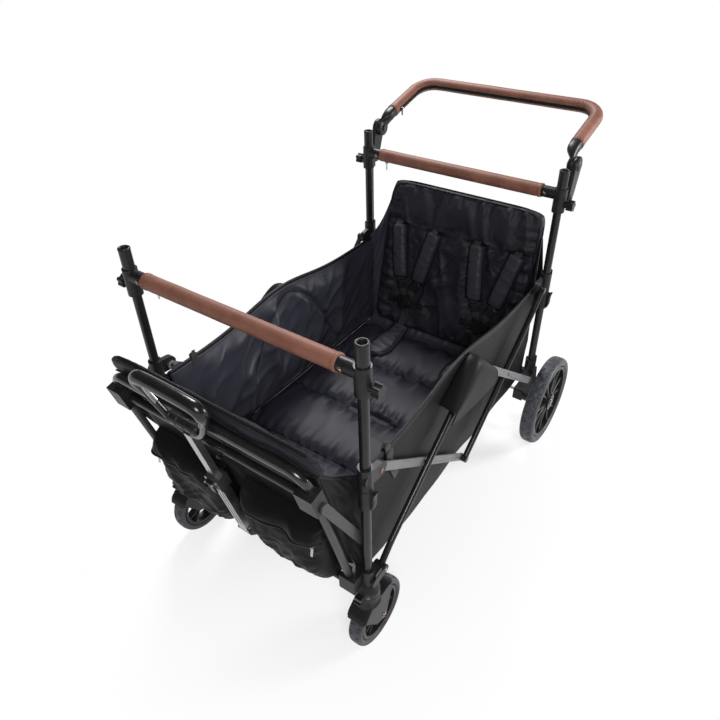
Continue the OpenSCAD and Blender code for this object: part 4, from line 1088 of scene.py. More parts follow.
@dataclass
class SideWalls:
    """Sides of the basket: a smooth outer cloth, a slack lining, a bound rim and a cover over the joint."""

    front: float = -0.4945
    rear: float = 0.3805
    outer_x: float = 0.2945
    lining_x: float = 0.2895
    rows: int = 150
    columns: int = 60
    rim_x: float = 0.2920
    lining_wall: float = 0.0012
    fold_depth: float = 0.0190
    short_fold_depth: float = 0.0075
    dome_middle: float = -0.055
    dome_half: float = 0.228

    def build(self) -> None:
        """Makes both sides."""
        for side in Side:
            name = side.label
            outer = piece(f"side_cloth_{name}", self.cloth(side), OUTER, wall=CLOTH_WALL)
            lining = piece(f"side_lining_{name}", self.lining(side), LINING, wall=self.lining_wall)
            rim = piece(f"side_rim_{name}", self.rim(side), PIPING)
            thread = piece(f"side_rim_thread_{name}", self.rim_thread(side), THREAD)
            seam = piece(f"side_seam_{name}", self.seam(side), PIPING)
            cover = piece(f"joint_cover_{name}", self.cover(side), OUTER, wall=CLOTH_WALL)
            edge = piece(f"joint_cover_edge_{name}", self.cover_edge(side), PIPING)
            folds_away(outer, lining, rim, thread, seam, cover, edge)
            if side is Side.RIGHT:
                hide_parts("side_panels")

    def grid(self) -> tuple[Array, Array, Array]:
        """Grid over the side: y along, z from hem to rim, and the share of the height."""
        y, share = crossed(np.linspace(self.front, self.rear, self.rows), np.linspace(0, 1, self.columns))
        return y, hem_height(y) + share * (rim_height(y) - hem_height(y)), share

    def cloth(self, side: Side) -> Form:
        """Outer cloth: x bows out by a sine of the height, with faint slack near the hem."""
        y, z, share = self.grid()
        slack = ripples(11 + side.value, stack(y + 0.4 * z, z * 0.5), 0.16) * (1 - share)
        x = self.outer_x + 0.0006 * np.sin(np.pi * share) - 0.0030 * np.abs(slack)
        points = stack(x * side.value, y, z)
        return surface(points[:, ::side.value], stack(y, z)[:, ::side.value])

    def lining(self, side: Side) -> Form:
        """Lining: folds lean with the height and fade at the hem and rim; a dome-shaped seam draws it in."""
        y, z, share = self.grid()
        soft = smooth(share / 0.22) * smooth((1 - share) / 0.14) * smooth((y - self.front) / 0.05)
        soft *= 1 - 0.62 * smooth((y - 0.16) / 0.12)
        long_folds = creases(23 + side.value, stack(y - 0.75 * z, 0.55 * z + 0.2 * y), 0.20)
        short_folds = creases(31 + side.value, stack(y - 1.1 * z, 0.8 * z), 0.10)
        drawn = bell(z - self.dome(y), 0.012)
        fold = self.fold_depth * long_folds + self.short_fold_depth * short_folds
        x = self.lining_x - 0.0012 - soft * fold * (1 - 0.75 * drawn)
        points = stack(x * side.value, y, z)
        return surface(points[:, ::-side.value], stack(y, z)[:, ::-side.value])

    def dome(self, y: Array) -> Array:
        """Height of the dome seam: a rounded arch over the middle joint."""
        away = np.abs((np.asarray(y) - self.dome_middle) / self.dome_half)
        return 0.275 + 0.318 * np.clip(1 - away ** 1.7, 0, 1)

    def seam(self, side: Side) -> Form:
        """Welt along the dome seam, on the lining."""
        y = np.linspace(self.dome_middle - self.dome_half * 0.97, self.dome_middle + self.dome_half * 0.97, 90)
        share = (self.dome(y) - hem_height(y)) / (rim_height(y) - hem_height(y))
        path = stack((self.lining_x - 0.0022) * side.value, y, self.dome(y))
        path[:, 0] -= side.value * 0.0015 * smooth(share / 0.2) * smooth((1 - share) / 0.1)
        return tube(path, 0.0017, (side.value, 0, 0), 8)

    def rim_path(self, side: Side) -> Array:
        """Points along the rim."""
        y = np.linspace(self.front - 0.004, self.rear, 120)
        return stack(self.rim_x * side.value, y, rim_height(y))

    def rim(self, side: Side) -> Form:
        """Bound edge: a flat oblong folded over both cloths."""
        return sweep(self.rim_path(side), oblong(0.0085, 0.016, 3.0, 20), UP)

    def rim_thread(self, side: Side) -> Form:
        """Stitches along both faces of the rim."""
        path = self.rim_path(side)
        rows = [path + np.array([0.0043 * sign, 0, -0.0035]) for sign in ENDS]
        return joined(stitch_row(row, (sign, 0, 0), 0.0055) for row, sign in zip(rows, ENDS))

    def cover_grid(self, rows: int = 48, columns: int = 44) -> Array:
        """Cover over the middle joint: it leaves the rim, turns down and hangs clear of the links.

        Returns:
            Points of the right side's cover, shape (rows, columns, 3).
        """
        share, across = crossed(np.linspace(0, 1, rows), np.linspace(-1, 1, columns))
        line = curve_through([(0.2955, 0.6100), (0.3080, 0.6130), (0.3200, 0.6112), (0.3300, 0.6056),
                              (0.3375, 0.5955), (0.3415, 0.5790), (0.3418, 0.5480), (0.3400, 0.5100),
                              (0.3378, 0.4750)], rows)
        y = -0.056 - 0.027 * share + across * np.where(across < 0, 0.129 - 0.012 * share, 0.090 + 0.0355 * share)
        x = line[:, :1] + 0.0008 * ripples(41, stack(y, share * 0.06), 0.07) * smooth((share - 0.3) / 0.3)
        ridge = 0.612 - np.where(across < 0, 0.072, 0.082) * (np.sqrt(across ** 2 + 0.04) - 0.2) * 1.22
        hem = 0.485 + np.where(across < 0, 0.023, -0.011) * np.abs(across)
        z = ridge + (line[:, 1:] - line[0, 1]) * (ridge - hem) / (line[0, 1] - line[-1, 1])
        return stack(x, y, z)

    def cover(self, side: Side) -> Form:
        """The cover as a sheet."""
        points = self.cover_grid() * side.flip
        uv = points[..., 1:]
        return surface(points[:, ::side.value], uv[:, ::side.value])

    def cover_edge(self, side: Side) -> Form:
        """Bound edge round the cover's free sides."""
        grid = self.cover_grid()
        edge = np.concatenate([grid[4:, 0], grid[-1, 1:-1], grid[4:, -1][::-1]])
        edge = curve_through(edge[::3], 120) * side.flip
        return sweep(edge, oblong(0.0032, 0.0032, 2.2, 10), (side.value, 0.0, 0.02))


@dataclass
class FloorCushion:
    """Quilted floor: padded panels between sewn channels, with a slit for the pull strap."""

    half: float = 0.2825
    front: float = -0.5065
    rear: float = 0.3300
    seams: tuple[float, ...] = (-0.5065, -0.286, -0.079, 0.128, 0.3300)
    base: float = PAD_BASE
    seam_height: float = 0.0018
    panel_height: float = 0.0200
    slit: tuple[float, float] = (-0.058, 0.078)
    cord: float = 0.0026
    cord_x: float = 0.2725
    cord_ends: tuple[float, float] = (-0.272, 0.272)
    rows: int = 177
    columns: int = 110

    def build(self) -> None:
        """Makes the cushion, its piping and stitches."""
        pad = piece("floor_cushion", self.pad(), FLOOR, "padded_cloth", stands_for=["floor_pad"])
        fill(pad, self.held, cap=0.0032, pressure=3.0, shrink=-0.035, last_frame=14)
        piping = piece("floor_piping", self.piping(), PIPING, "padded_cloth")
        thread = piece("floor_thread", self.thread(), THREAD, "padded_cloth")
        strap = piece("floor_strap", self.strap(), STRAP, "webbing")
        folds_away(pad, piping, thread, strap)

    def channel(self, y: Array) -> Array:
        """0 on a sewn channel, 1 between two of them."""
        edges = np.array(self.seams)
        k = np.clip(np.searchsorted(edges, y) - 1, 0, len(edges) - 2)
        share = (y - edges[k]) / (edges[k + 1] - edges[k])
        return np.clip(np.sin(np.pi * np.clip(share, 0, 1)), 0, 1) ** 0.38

    def pad(self) -> Form:
        """Height = base + edge * (seam height + puff), with puckers that run away from each channel."""
        a, b = lattice(self.rows, self.columns)
        panel, share = np.divmod((a + 1) / 2 * (len(self.seams) - 1), 1)
        share = share - 0.8 * np.sin(2 * np.pi * share) / (2 * np.pi)
        y = np.interp(panel + share, np.arange(len(self.seams)), self.seams)
        a = 2 * (y - self.front) / (self.rear - self.front) - 1
        x = self.half * (b + 0.06 * np.sin(np.pi * b) / np.pi)
        x = x * (1 - 0.010 * self.channel(y) * np.abs(b) ** 3)
        puff = self.channel(y)
        rounding = rounded(b, 14) * rounded(a, 40)
        pucker = ripples(5, stack(x, 0.12 * y), 0.030) * 0.0040 * puff * (1 - puff) * 4
        crease = creases(9, stack(x + 0.6 * y, 0.6 * y - 0.3 * x), 0.13) * 0.0022 * puff
        top = self.seam_height + self.panel_height * puff + pucker + crease
        in_slit = smooth((x - self.slit[0] + 0.006) / 0.006) * smooth((self.slit[1] + 0.006 - x) / 0.006)
        in_slit = in_slit * smooth((0.017 - np.abs(y - self.seams[2])) / 0.006)
        top = top * (1 - 0.82 * in_slit)
        height = np.clip(top, 0.0008, None) * rounding
        uv = stack(x, y)
        upper = stack(x, y, self.base + height)
        lower = stack(x, y, self.base)
        return pillow(upper, lower, uv)

    def held(self, points: Array) -> Array:
        """The underside, the rim, the channels and the slit stay put."""
        near = np.abs(points[:, 1, None] - np.array(self.seams)[None]).min(1) < 0.0035
        under = points[:, 2] < self.base + 0.0012
        rim = np.abs(points[:, 0]) > self.half - 0.006
        slit = (np.abs(points[:, 1] - self.seams[2]) < 0.021) & (points[:, 0] > -0.068) & (points[:, 0] < 0.088)
        return near | under | rim | slit

    def piping(self) -> Form:
        """Cords along the sides, across the channels and round the slit."""
        y = np.linspace(self.front + 0.01, self.rear - 0.004, 90)
        lines = [stack(s * self.cord_x, y, self.base + 0.0165 + 0.004 * self.channel(y)) for s in ENDS]
        wide = self.cord_ends
        crossings = ((self.seams[1], *wide), (self.seams[2], wide[0], self.slit[0] - 0.01),
                     (self.seams[2], self.slit[1] + 0.01, wide[1]), (self.seams[3], *wide),
                     (self.seams[4] - 0.006, *wide))
        rise = self.base + self.seam_height
        lines += [stack(np.linspace(start, end, 40), y, rise + 0.0016) for y, start, end in crossings]
        middle = np.array([(self.slit[0] + self.slit[1]) / 2, self.seams[2]])
        lips = middle + round_rect(self.slit[1] - self.slit[0] + 0.014, 0.034, 0.008)
        lips = raised(lips, rise + 0.0045)
        lines.append(np.vstack([lips, lips[:1]]))
        return joined(tube(line, self.cord, UP, 8) for line in lines)

    def thread(self) -> Form:
        """Stitches beside the channels and short bar tacks at their ends."""
        x = np.linspace(-0.265, 0.265, 60)
        rise = self.base + self.seam_height
        rows = [stack(x, y + step, rise + 0.0032) for y in self.seams[1:4] for step in (-0.005, 0.005)]
        tacks = [stack(s * 0.212, np.linspace(-0.098, -0.060, 8), rise + 0.0045) for s in ENDS]
        return joined([stitch_row(row, UP, 0.006) for row in rows]
                      + [stitch_row(row, UP, 0.0022, 0.0020, 0.0016) for row in tacks])

    def strap(self) -> Form:
        """Flat pull strap that shows in the slit."""
        x = np.linspace(self.slit[0] - 0.004, self.slit[1] + 0.004, 24)
        path = stack(x, self.seams[2], self.base + 0.0032)
        return sweep(path, oblong(0.017, 0.0014, 5.0, 16), UP)


@dataclass
class SeatBack:
    """Padded backrest with piping, and the cloth wings and rear cloth behind it."""

    half: float = 0.2620
    low: float = 0.0235
    high: float = 0.5080
    thick: float = 0.0140
    crown: float = 0.0060
    rows: int = 120
    columns: int = 128
    slots: tuple[float, ...] = (-0.202, -0.071, 0.077, 0.210)
    slot_up: float = 0.366

    def build(self) -> None:
        """Makes the pad, piping, wings and rear cloth."""
        pad = piece("seat_back", self.pad(), PADDED, "padded_cloth", stands_for=["backrest_pad"])
        fill(pad, self.held, cap=0.0055, pressure=3.4, shrink=-0.045, last_frame=14)
        piece("seat_back_piping", self.piping(), PIPING, "padded_cloth")
        rear = piece("rear_cloth", self.rear_cloth(), OUTER, stands_for=["rear_panel"], wall=0.0022)
        for side in Side:
            wing = piece(f"seat_wing_{side.label}", self.wing(side), LINING, wall=CLOTH_WALL)

    def wing(self, side: Side, rows: int = 60, columns: int = 24) -> Form:
        """Wing from the pad's side edge to the side cloth's rear edge, ruled between the two, a little slack."""
        t, s = crossed(np.linspace(0, 1, rows), np.linspace(0, 1, columns))
        edge = BACK.world(stack(self.half - 0.003, -0.003, 0.012 + 0.440 * t))
        wall = stack(0.2895, 0.3790 - 0.004 * t, 0.2740 + 0.322 * t)
        points = edge * (1 - s[..., None]) + wall * s[..., None]
        sag = np.sin(np.pi * s) * (0.003 + 0.004 * creases(65, stack(0.15 * s + 0.3 * t, 0.3 * t), 0.09))
        points[..., 1] -= sag * smooth(t / 0.15) * smooth((1 - t) / 0.1)
        points[..., 2] -= 0.020 * np.sin(np.pi * s) * t ** 4
        points = points * side.flip
        return surface(points, points[..., 1:])

    def plan(self, a: Array, b: Array) -> tuple[Array, Array]:
        """Outline: an oblong whose corners draw in by the ninth power of both parameters.

        Args:
            a: Share of the height, -1 to 1.
            b: Share of the width, -1 to 1.

        Returns:
            Places across and up.
        """
        corner = 1 - 0.045 * np.abs(a) ** 9 * np.abs(b) ** 9
        waist = 1 - 0.006 * (1 - a ** 2) * np.abs(b)
        up = (self.low + self.high) / 2 + a * corner * (self.high - self.low) / 2
        return self.half * b * corner * waist, up

    def pad(self) -> Form:
        """Thickness falls to nothing at the rim; puckers run in from the sides and under the slots."""
        a, b = lattice(self.rows, self.columns)
        x, up = self.plan(a, b)
        rounding = rounded(a, 26) * rounded(b, 26)
        rim = np.maximum(np.abs(a) ** 6, np.abs(b) ** 6)
        pucker = ripples(51, stack(0.15 * x, up), 0.036) * 0.0042 * smooth((np.abs(b) - 0.62) / 0.3)
        pucker += ripples(52, stack(x, 0.15 * up), 0.034) * 0.0036 * smooth((np.abs(a) - 0.66) / 0.3)
        long_folds = creases(53, stack(x + 0.20 * up, 0.35 * up), 0.11) * 0.0085
        slack = creases(54, stack(x - 0.7 * up, 0.7 * up), 0.09) * 0.0080 * (1 - smooth((up - 0.34) / 0.06))
        drawn = sum(np.exp(-((x - s) / 0.034) ** 2 - ((up - self.slot_up) / 0.010) ** 2) for s in self.slots)
        tuck = bell(up - self.slot_up, 0.009) * (0.5 + 0.5 * ripples(55, stack(x, 0 * x), 0.05) ** 2)
        folds = pucker + (long_folds + slack) * (1 - 0.8 * self.pressed(x, up))
        depth = self.thick + self.crown * (1 - rim) + folds
        depth = depth - 0.008 * drawn - 0.0035 * np.minimum(tuck, 1) * (1 - rim)
        uv = stack(x, up)
        upper = BACK.world(stack(x, -0.0002 - depth * rounding, up))
        lower = BACK.world(stack(x, -0.0002, up))
        return pillow(upper, lower, uv)

    @staticmethod
    def pressed(x: Array, up: Array) -> Array:
        """1 under the harness, which presses the pad flat, and 0 away from it."""
        under = np.zeros_like(x)
        for tops, feet, hub in zip(Harness.tops, Harness.feet, Harness.hubs):
            for top, foot in zip(tops, feet):
                line = np.interp(up, [Harness.hub_up, Harness.foot_up, Harness.top_up], [hub, foot, top])
                under = np.maximum(under, np.exp(-((x - line) / 0.034) ** 4) * (up < 0.38) * (up > 0.09))
        return under

    def held(self, points: Array) -> Array:
        """The back, the rim and the four slots stay put."""
        local = self.local(points)
        back = -local[:, 1] < 0.004
        rim = (np.abs(local[:, 0]) > self.half - 0.016) | (local[:, 2] < self.low + 0.014)
        rim |= local[:, 2] > self.high - 0.016
        near = np.abs(local[:, 0, None] - np.array(self.slots)[None]).min(1) < 0.036
        pressed = self.pressed(local[:, 0], local[:, 2]) > 0.5
        return back | rim | pressed | (near & (np.abs(local[:, 2] - self.slot_up) < 0.010))

    @staticmethod
    def local(points: Array) -> Array:
        """Points of the wagon's axes in the seat back's own plane."""
        turn = math.radians(BACK.degrees)
        p = points - np.array(BACK.origin)
        c, s = math.cos(turn), math.sin(turn)
        return stack(p[:, 0], c * p[:, 1] + s * p[:, 2], -s * p[:, 1] + c * p[:, 2])

    def piping(self) -> Form:
        """Cord round the pad's front edge, and a second one at its back."""
        turn = full_turn(240)
        c, s = np.cos(turn), np.sin(turn)
        a = signed(s, 0.16)
        b = signed(c, 0.16)
        cords = []
        for inset, out, radius in ((0.975, 0.0155, 0.0024), (1.0, 0.0035, 0.0020)):
            x, up = self.plan(a * inset, b * inset)
            ring = BACK.world(stack(x, -out, up))
            cords.append(sweep(ring, circle(radius, 8), BACK.way([0, -1, 0]), closed=True))
        return joined(cords)

    def rear_cloth(self) -> Form:
        """Cloth behind the pad, with wings to the posts: width by height from the wing's outline."""
        a, b = lattice(90, 90)
        up = 0.0017 + (a + 1) / 2 * 0.501
        width = np.interp(up, [0.0, 0.330, 0.430, 0.5027], [0.286, 0.286, 0.262, 0.232])
        x = width * b
        sag = 0.0012 * ripples(61, stack(x, 0.4 * up), 0.13)
        pull = 0.0016 * creases(62, stack(x + up, up), 0.12)
        y = 0.0032 + sag * (1 - a ** 4) * (1 - b ** 4) + pull * (1 - b ** 4) * 0.6
        return surface(BACK.world(stack(x, y, up)), stack(x, up))


@dataclass
class FrontEnd:
    """Leaning front of the basket: cloth panel, padded rim roll and side gussets."""

    half: float = 0.2815
    top: float = 0.421
    roll_half: float = 0.296

    def build(self) -> None:
        """Makes the panel, roll and gussets."""
        panel = piece("front_cloth", self.panel(), OUTER, "cloth", "front_frame", ["front_panel"])
        roll = piece("front_roll", self.roll(), PADDED, "padded_cloth", "front_frame")
        piece("front_roll_band", self.band(), PIPING, "cloth", "front_frame")
        piece("front_roll_thread", self.thread(), THREAD, "cloth", "front_frame")
        for side in Side:
            name = f"front_gusset_{side.label}"
            gusset = piece(name, self.gusset(side), OUTER, "cloth", "front_frame", wall=0.0018)
            piece(f"{name}_edge", self.gusset_edge(side), PIPING, "cloth", "front_frame")

    def panel(self) -> Form:
        """Thin padded panel: faces bow by the rim's rounding, with slack folds low on the outer face."""
        a, b = lattice(70, 96)
        up = 0.001 + (a + 1) / 2 * self.top
        width = np.interp(up, [0.0, 0.022, 0.030, self.top], [0.2590, 0.2590, self.half, self.half])
        x = width * b
        rounding = rounded(a, 20) * rounded(b, 20)
        slack = 0.0020 * creases(71, stack(x + 0.3 * up, 0.5 * up), 0.12)
        uv = stack(x, up)
        outer = FRONT.world(stack(x, 0.009 - (0.0052 + slack) * rounding, up))
        inner = FRONT.world(stack(x, 0.009 + (0.0060 + slack) * rounding, up))
        return pillow(inner, outer, uv)

    def roll_path(self, count: int = 160) -> Array:
        """Middle line of the roll, dropping a little at its ends."""
        x = np.linspace(-self.roll_half, self.roll_half, count)
        drop = 0.007 * smooth((np.abs(x) - 0.225) / 0.071)
        return FRONT.world(stack(x, 0.016, 0.444 - drop))

    def roll(self) -> Form:
        """Padded roll: an oblong section that narrows at its round ends, with puckers along its seam."""
        path, sides = self.roll_path(), 36
        x = path[:, 0]
        size = np.sqrt(np.clip(1 - (np.abs(x) / (self.roll_half + 0.0005)) ** 22, 0.02, 1))
        form = sweep(path, oblong(0.0255, 0.0500, 2.7, sides), FRONT.way([0, 0, 1]), size)
        middle = np.repeat(path, sides, axis=0)
        away = unit(form.points - middle)
        run = np.repeat(x, sides)
        seam = bell(form.points[:, 1] - middle[:, 1] + 0.004, 0.010) * (form.points[:, 2] > middle[:, 2])
        ripple = 0.0007 * ripples(81, stack(run, 0.1 * form.points[:, 2]), 0.018) * (0.25 + seam)
        ripple += 0.0014 * ripples(82, stack(run, form.points[:, 2]), 0.11)
        ripple *= np.repeat(size, sides) ** 2
        seam = seam * np.repeat(size, sides) ** 2
        return Form(form.points + away * (ripple - 0.0035 * seam)[:, None], form.faces, form.uv)

    def band(self) -> Form:
        """Gathered seam along the roll's crown, ruffled by a sine, and a hem line along its foot."""
        crown = self.roll_path(420)[22:-22] + np.array([0, -0.0062, 0.0230])
        ruffle = 1 + 0.07 * np.sin(crown[:, 0] * 2 * np.pi / 0.0085)
        foot = self.roll_path(90)[2:-2] + FRONT.way([0, -0.0125, -0.012])
        forms = [sweep(crown, oblong(0.0105, 0.0030, 2.6, 12), (0, -0.2, 1), ruffle)]
        return joined(forms + [tube(foot, 0.0021, UP, 8)])

    def thread(self) -> Form:
        """Two rows of stitches beside the crown's seam."""
        path = self.roll_path(90)[4:-4]
        rows = [path + np.array([0, -0.0062 + step, 0.0236 - 0.25 * step]) for step in (-0.0070, 0.0070)]
        return joined(stitch_row(row, UP, 0.0055) for row in rows)

    def gusset_grid(self, side: Side, rows: int = 40, columns: int = 26) -> Array:
        """Gusset from the panel's edge to the side cloth's front edge, ruled between the two, a little slack.

        Args:
            side: Which side.
            rows: Points up.
            columns: Points across.

        Returns:
            Points of shape (rows, columns, 3).
        """
        t, s = crossed(np.linspace(0, 1, rows), np.linspace(0, 1, columns))
        edge = FRONT.world(stack(self.half + 0.0005, 0.0105, 0.012 + t * 0.406))
        wall = stack(0.2925, -0.4965, 0.268 + t * 0.312)
        points = edge * (1 - s[..., None]) + wall * s[..., None]
        sag = np.sin(np.pi * s) * (0.004 + 0.0035 * creases(85, stack(s * 0.2 + 0.2 * t, t * 0.3), 0.09))
        points[..., 0] -= sag * smooth(t / 0.2)
        points[..., 2] -= 0.012 * np.sin(np.pi * s) * t ** 3
        return points * side.flip

    def gusset(self, side: Side) -> Form:
        """The gusset as a sheet."""
        points = self.gusset_grid(side)
        return surface(points, points[..., 1:])

    def gusset_edge(self, side: Side) -> Form:
        """Bound upper edge of the gusset."""
        edge = curve_through(self.gusset_grid(side)[-1][::4], 40)
        return sweep(edge, oblong(0.0045, 0.0075, 2.5, 12), UP)


@dataclass
class FrontPockets:
    """Two slack zipped pockets on the outer face of the front panel."""

    middle: float = 0.1450
    half: float = 0.1150
    section: tuple = ((0.0, 0.012), (0.030, 0.010), (0.053, 0.034), (0.060, 0.096), (0.052, 0.160), (0.047, 0.186),
                      (0.046, 0.204), (0.030, 0.218), (0.0, 0.222))
    rows: int = 110
    columns: int = 96
    zip_share: float = 0.735

    def build(self) -> None:
        """Makes both pockets with their zips."""
        for side in Side:
            name = side.label
            nodes = ["front_pockets"] if side is Side.LEFT else []
            bag = piece(f"front_pocket_{name}", self.bag(side), OUTER, "cloth", "front_frame", nodes)
            piece(f"pocket_zip_{name}", self.zip_tape(side), PIPING, "cloth", "front_frame")
            piece(f"pocket_teeth_{name}", self.teeth(side), BLACK, "cloth", "front_frame")
            piece(f"pocket_pull_{name}", self.pull(side), STEEL, "cloth", "front_frame", sharp=MOULDED_EDGE)

    def skin(self, side: Side, share: Array | float, across: Array, proud: float = 0.0) -> Array:
        """Pocket skin: the section's depth times a rounding across, plus folds and a lid that overhangs.

        Args:
            side: Which pocket.
            share: Place along the section, 0 at the foot and 1 at the top.
            across: Place across, -1 to 1.
            proud: How far in front of the skin.

        Returns:
            Points in the wagon's axes.
        """
        line = curve_through(self.section, 200)
        run = travelled(line) / travelled(line)[-1]
        depth, up = np.interp(share, run, line[:, 0]), np.interp(share, run, line[:, 1])
        x = self.half * (across + 0.05 * np.sin(np.pi * across) / np.pi)
        rounding = (1 - np.abs(across) ** 8) ** 0.4
        seed = 90 + side.value
        free = np.sin(np.pi * np.clip(share / self.zip_share, 0, 1)) ** 0.7
        slump = creases(seed, stack(0.5 * x + 0.1 * up, 1.1 * up - 0.3 * np.abs(x)), 0.13) * 0.014
        wrinkle = creases(seed + 5, stack(x + 0.5 * up, 0.7 * up - 0.4 * x), 0.085) * 0.0055
        wrinkle += creases(seed + 7, stack(0.6 * x - 0.4 * up, up + 0.2 * x), 0.042) * 0.0032
        lid = smooth((share - self.zip_share - 0.02) / 0.02) * smooth((0.985 - share) / 0.08)
        lid_fold = (ripples(seed + 9, stack(x, 0.3 * up), 0.055) * 0.0040
                    + creases(seed + 11, stack(0.7 * x + up, up), 0.06) * 0.0070) * lid
        trough = -0.004 * bell(share - self.zip_share, 0.016)
        extra = free * (slump + wrinkle) - 0.004 * free + 0.0075 * lid + lid_fold + trough + proud
        droop = -0.010 * free * np.cos(across * np.pi / 2) * (share < 0.5)
        deep = np.clip(depth + extra * smooth(depth / 0.02), 0, None) * rounding
        return FRONT.world(stack(side.value * self.middle + x, 0.0036 - deep, up + droop * 0.4))

    def bag(self, side: Side) -> Form:
        """The pocket, closed against the panel."""
        a, b = lattice(self.rows, self.columns)
        share = (a + 1) / 2
        front = self.skin(side, share, b)
        local = FRONT.world(stack(0.0, 0.0036, 0.0))
        lean = math.radians(FRONT.degrees)
        normal = np.array([0.0, math.cos(lean), math.sin(lean)])
        back = front + ((local - front) @ normal)[..., None] * normal
        width = side.value * self.middle + self.half * b
        return pillow(front, back, stack(width, travelled(np.array(self.section))[-1] * share))

    def zip_line(self, side: Side, count: int = 70, proud: float = 0.002) -> Array:
        """Line of the zip, just under the lid."""
        across = np.linspace(-0.93, 0.93, count)
        return self.skin(side, self.zip_share, across, proud)

    def zip_tape(self, side: Side) -> Form:
        """Tape of the zip and the lid's bound edge."""
        tape = sweep(self.zip_line(side), oblong(0.013, 0.0018, 4.0, 14), (0, -1, 0.1))
        across = np.linspace(-0.95, 0.95, 70)
        lip = self.skin(side, self.zip_share + 0.05, across, 0.001)
        return joined([tape, tube(lip, 0.0024, (0, -1, 0.1), 8)])

    def teeth(self, side: Side) -> Form:
        """Two rows of teeth along the zip."""
        line = self.zip_line(side, 120, 0.0034)
        rows = [line + np.array([0, 0, step]) for step in (-0.0011, 0.0011)]
        return joined(stitch_row(row, (0, -1, 0.1), 0.0028, 0.0021, 0.0022) for row in rows)

    def pull(self, side: Side) -> Form:
        """Slider, ring and tab at the zip's outer end."""
        end = self.zip_line(side, 70, 0.0050)[4 if side is Side.LEFT else -5]
        slider = block((0.010, 0.006, 0.007), 0.0018).moved(end)
        ring = lathe([(0.0030, -0.0006), (0.0042, -0.0006), (0.0042, 0.0006), (0.0030, 0.0006), (0.0030, -0.0006)],
                     end + np.array([0, -0.003, -0.005]), ACROSS, 20)
        tab = plate(round_rect(0.0065, 0.026, 0.0028), 0.0018, 0.0005)
        turn = np.array([[1, 0, 0], [0, 0.18, -0.98], [0, 0.98, 0.18]])
        return joined([slider, ring, tab.moved(end + np.array([0, -0.003, -0.020]), turn)])


# Leather


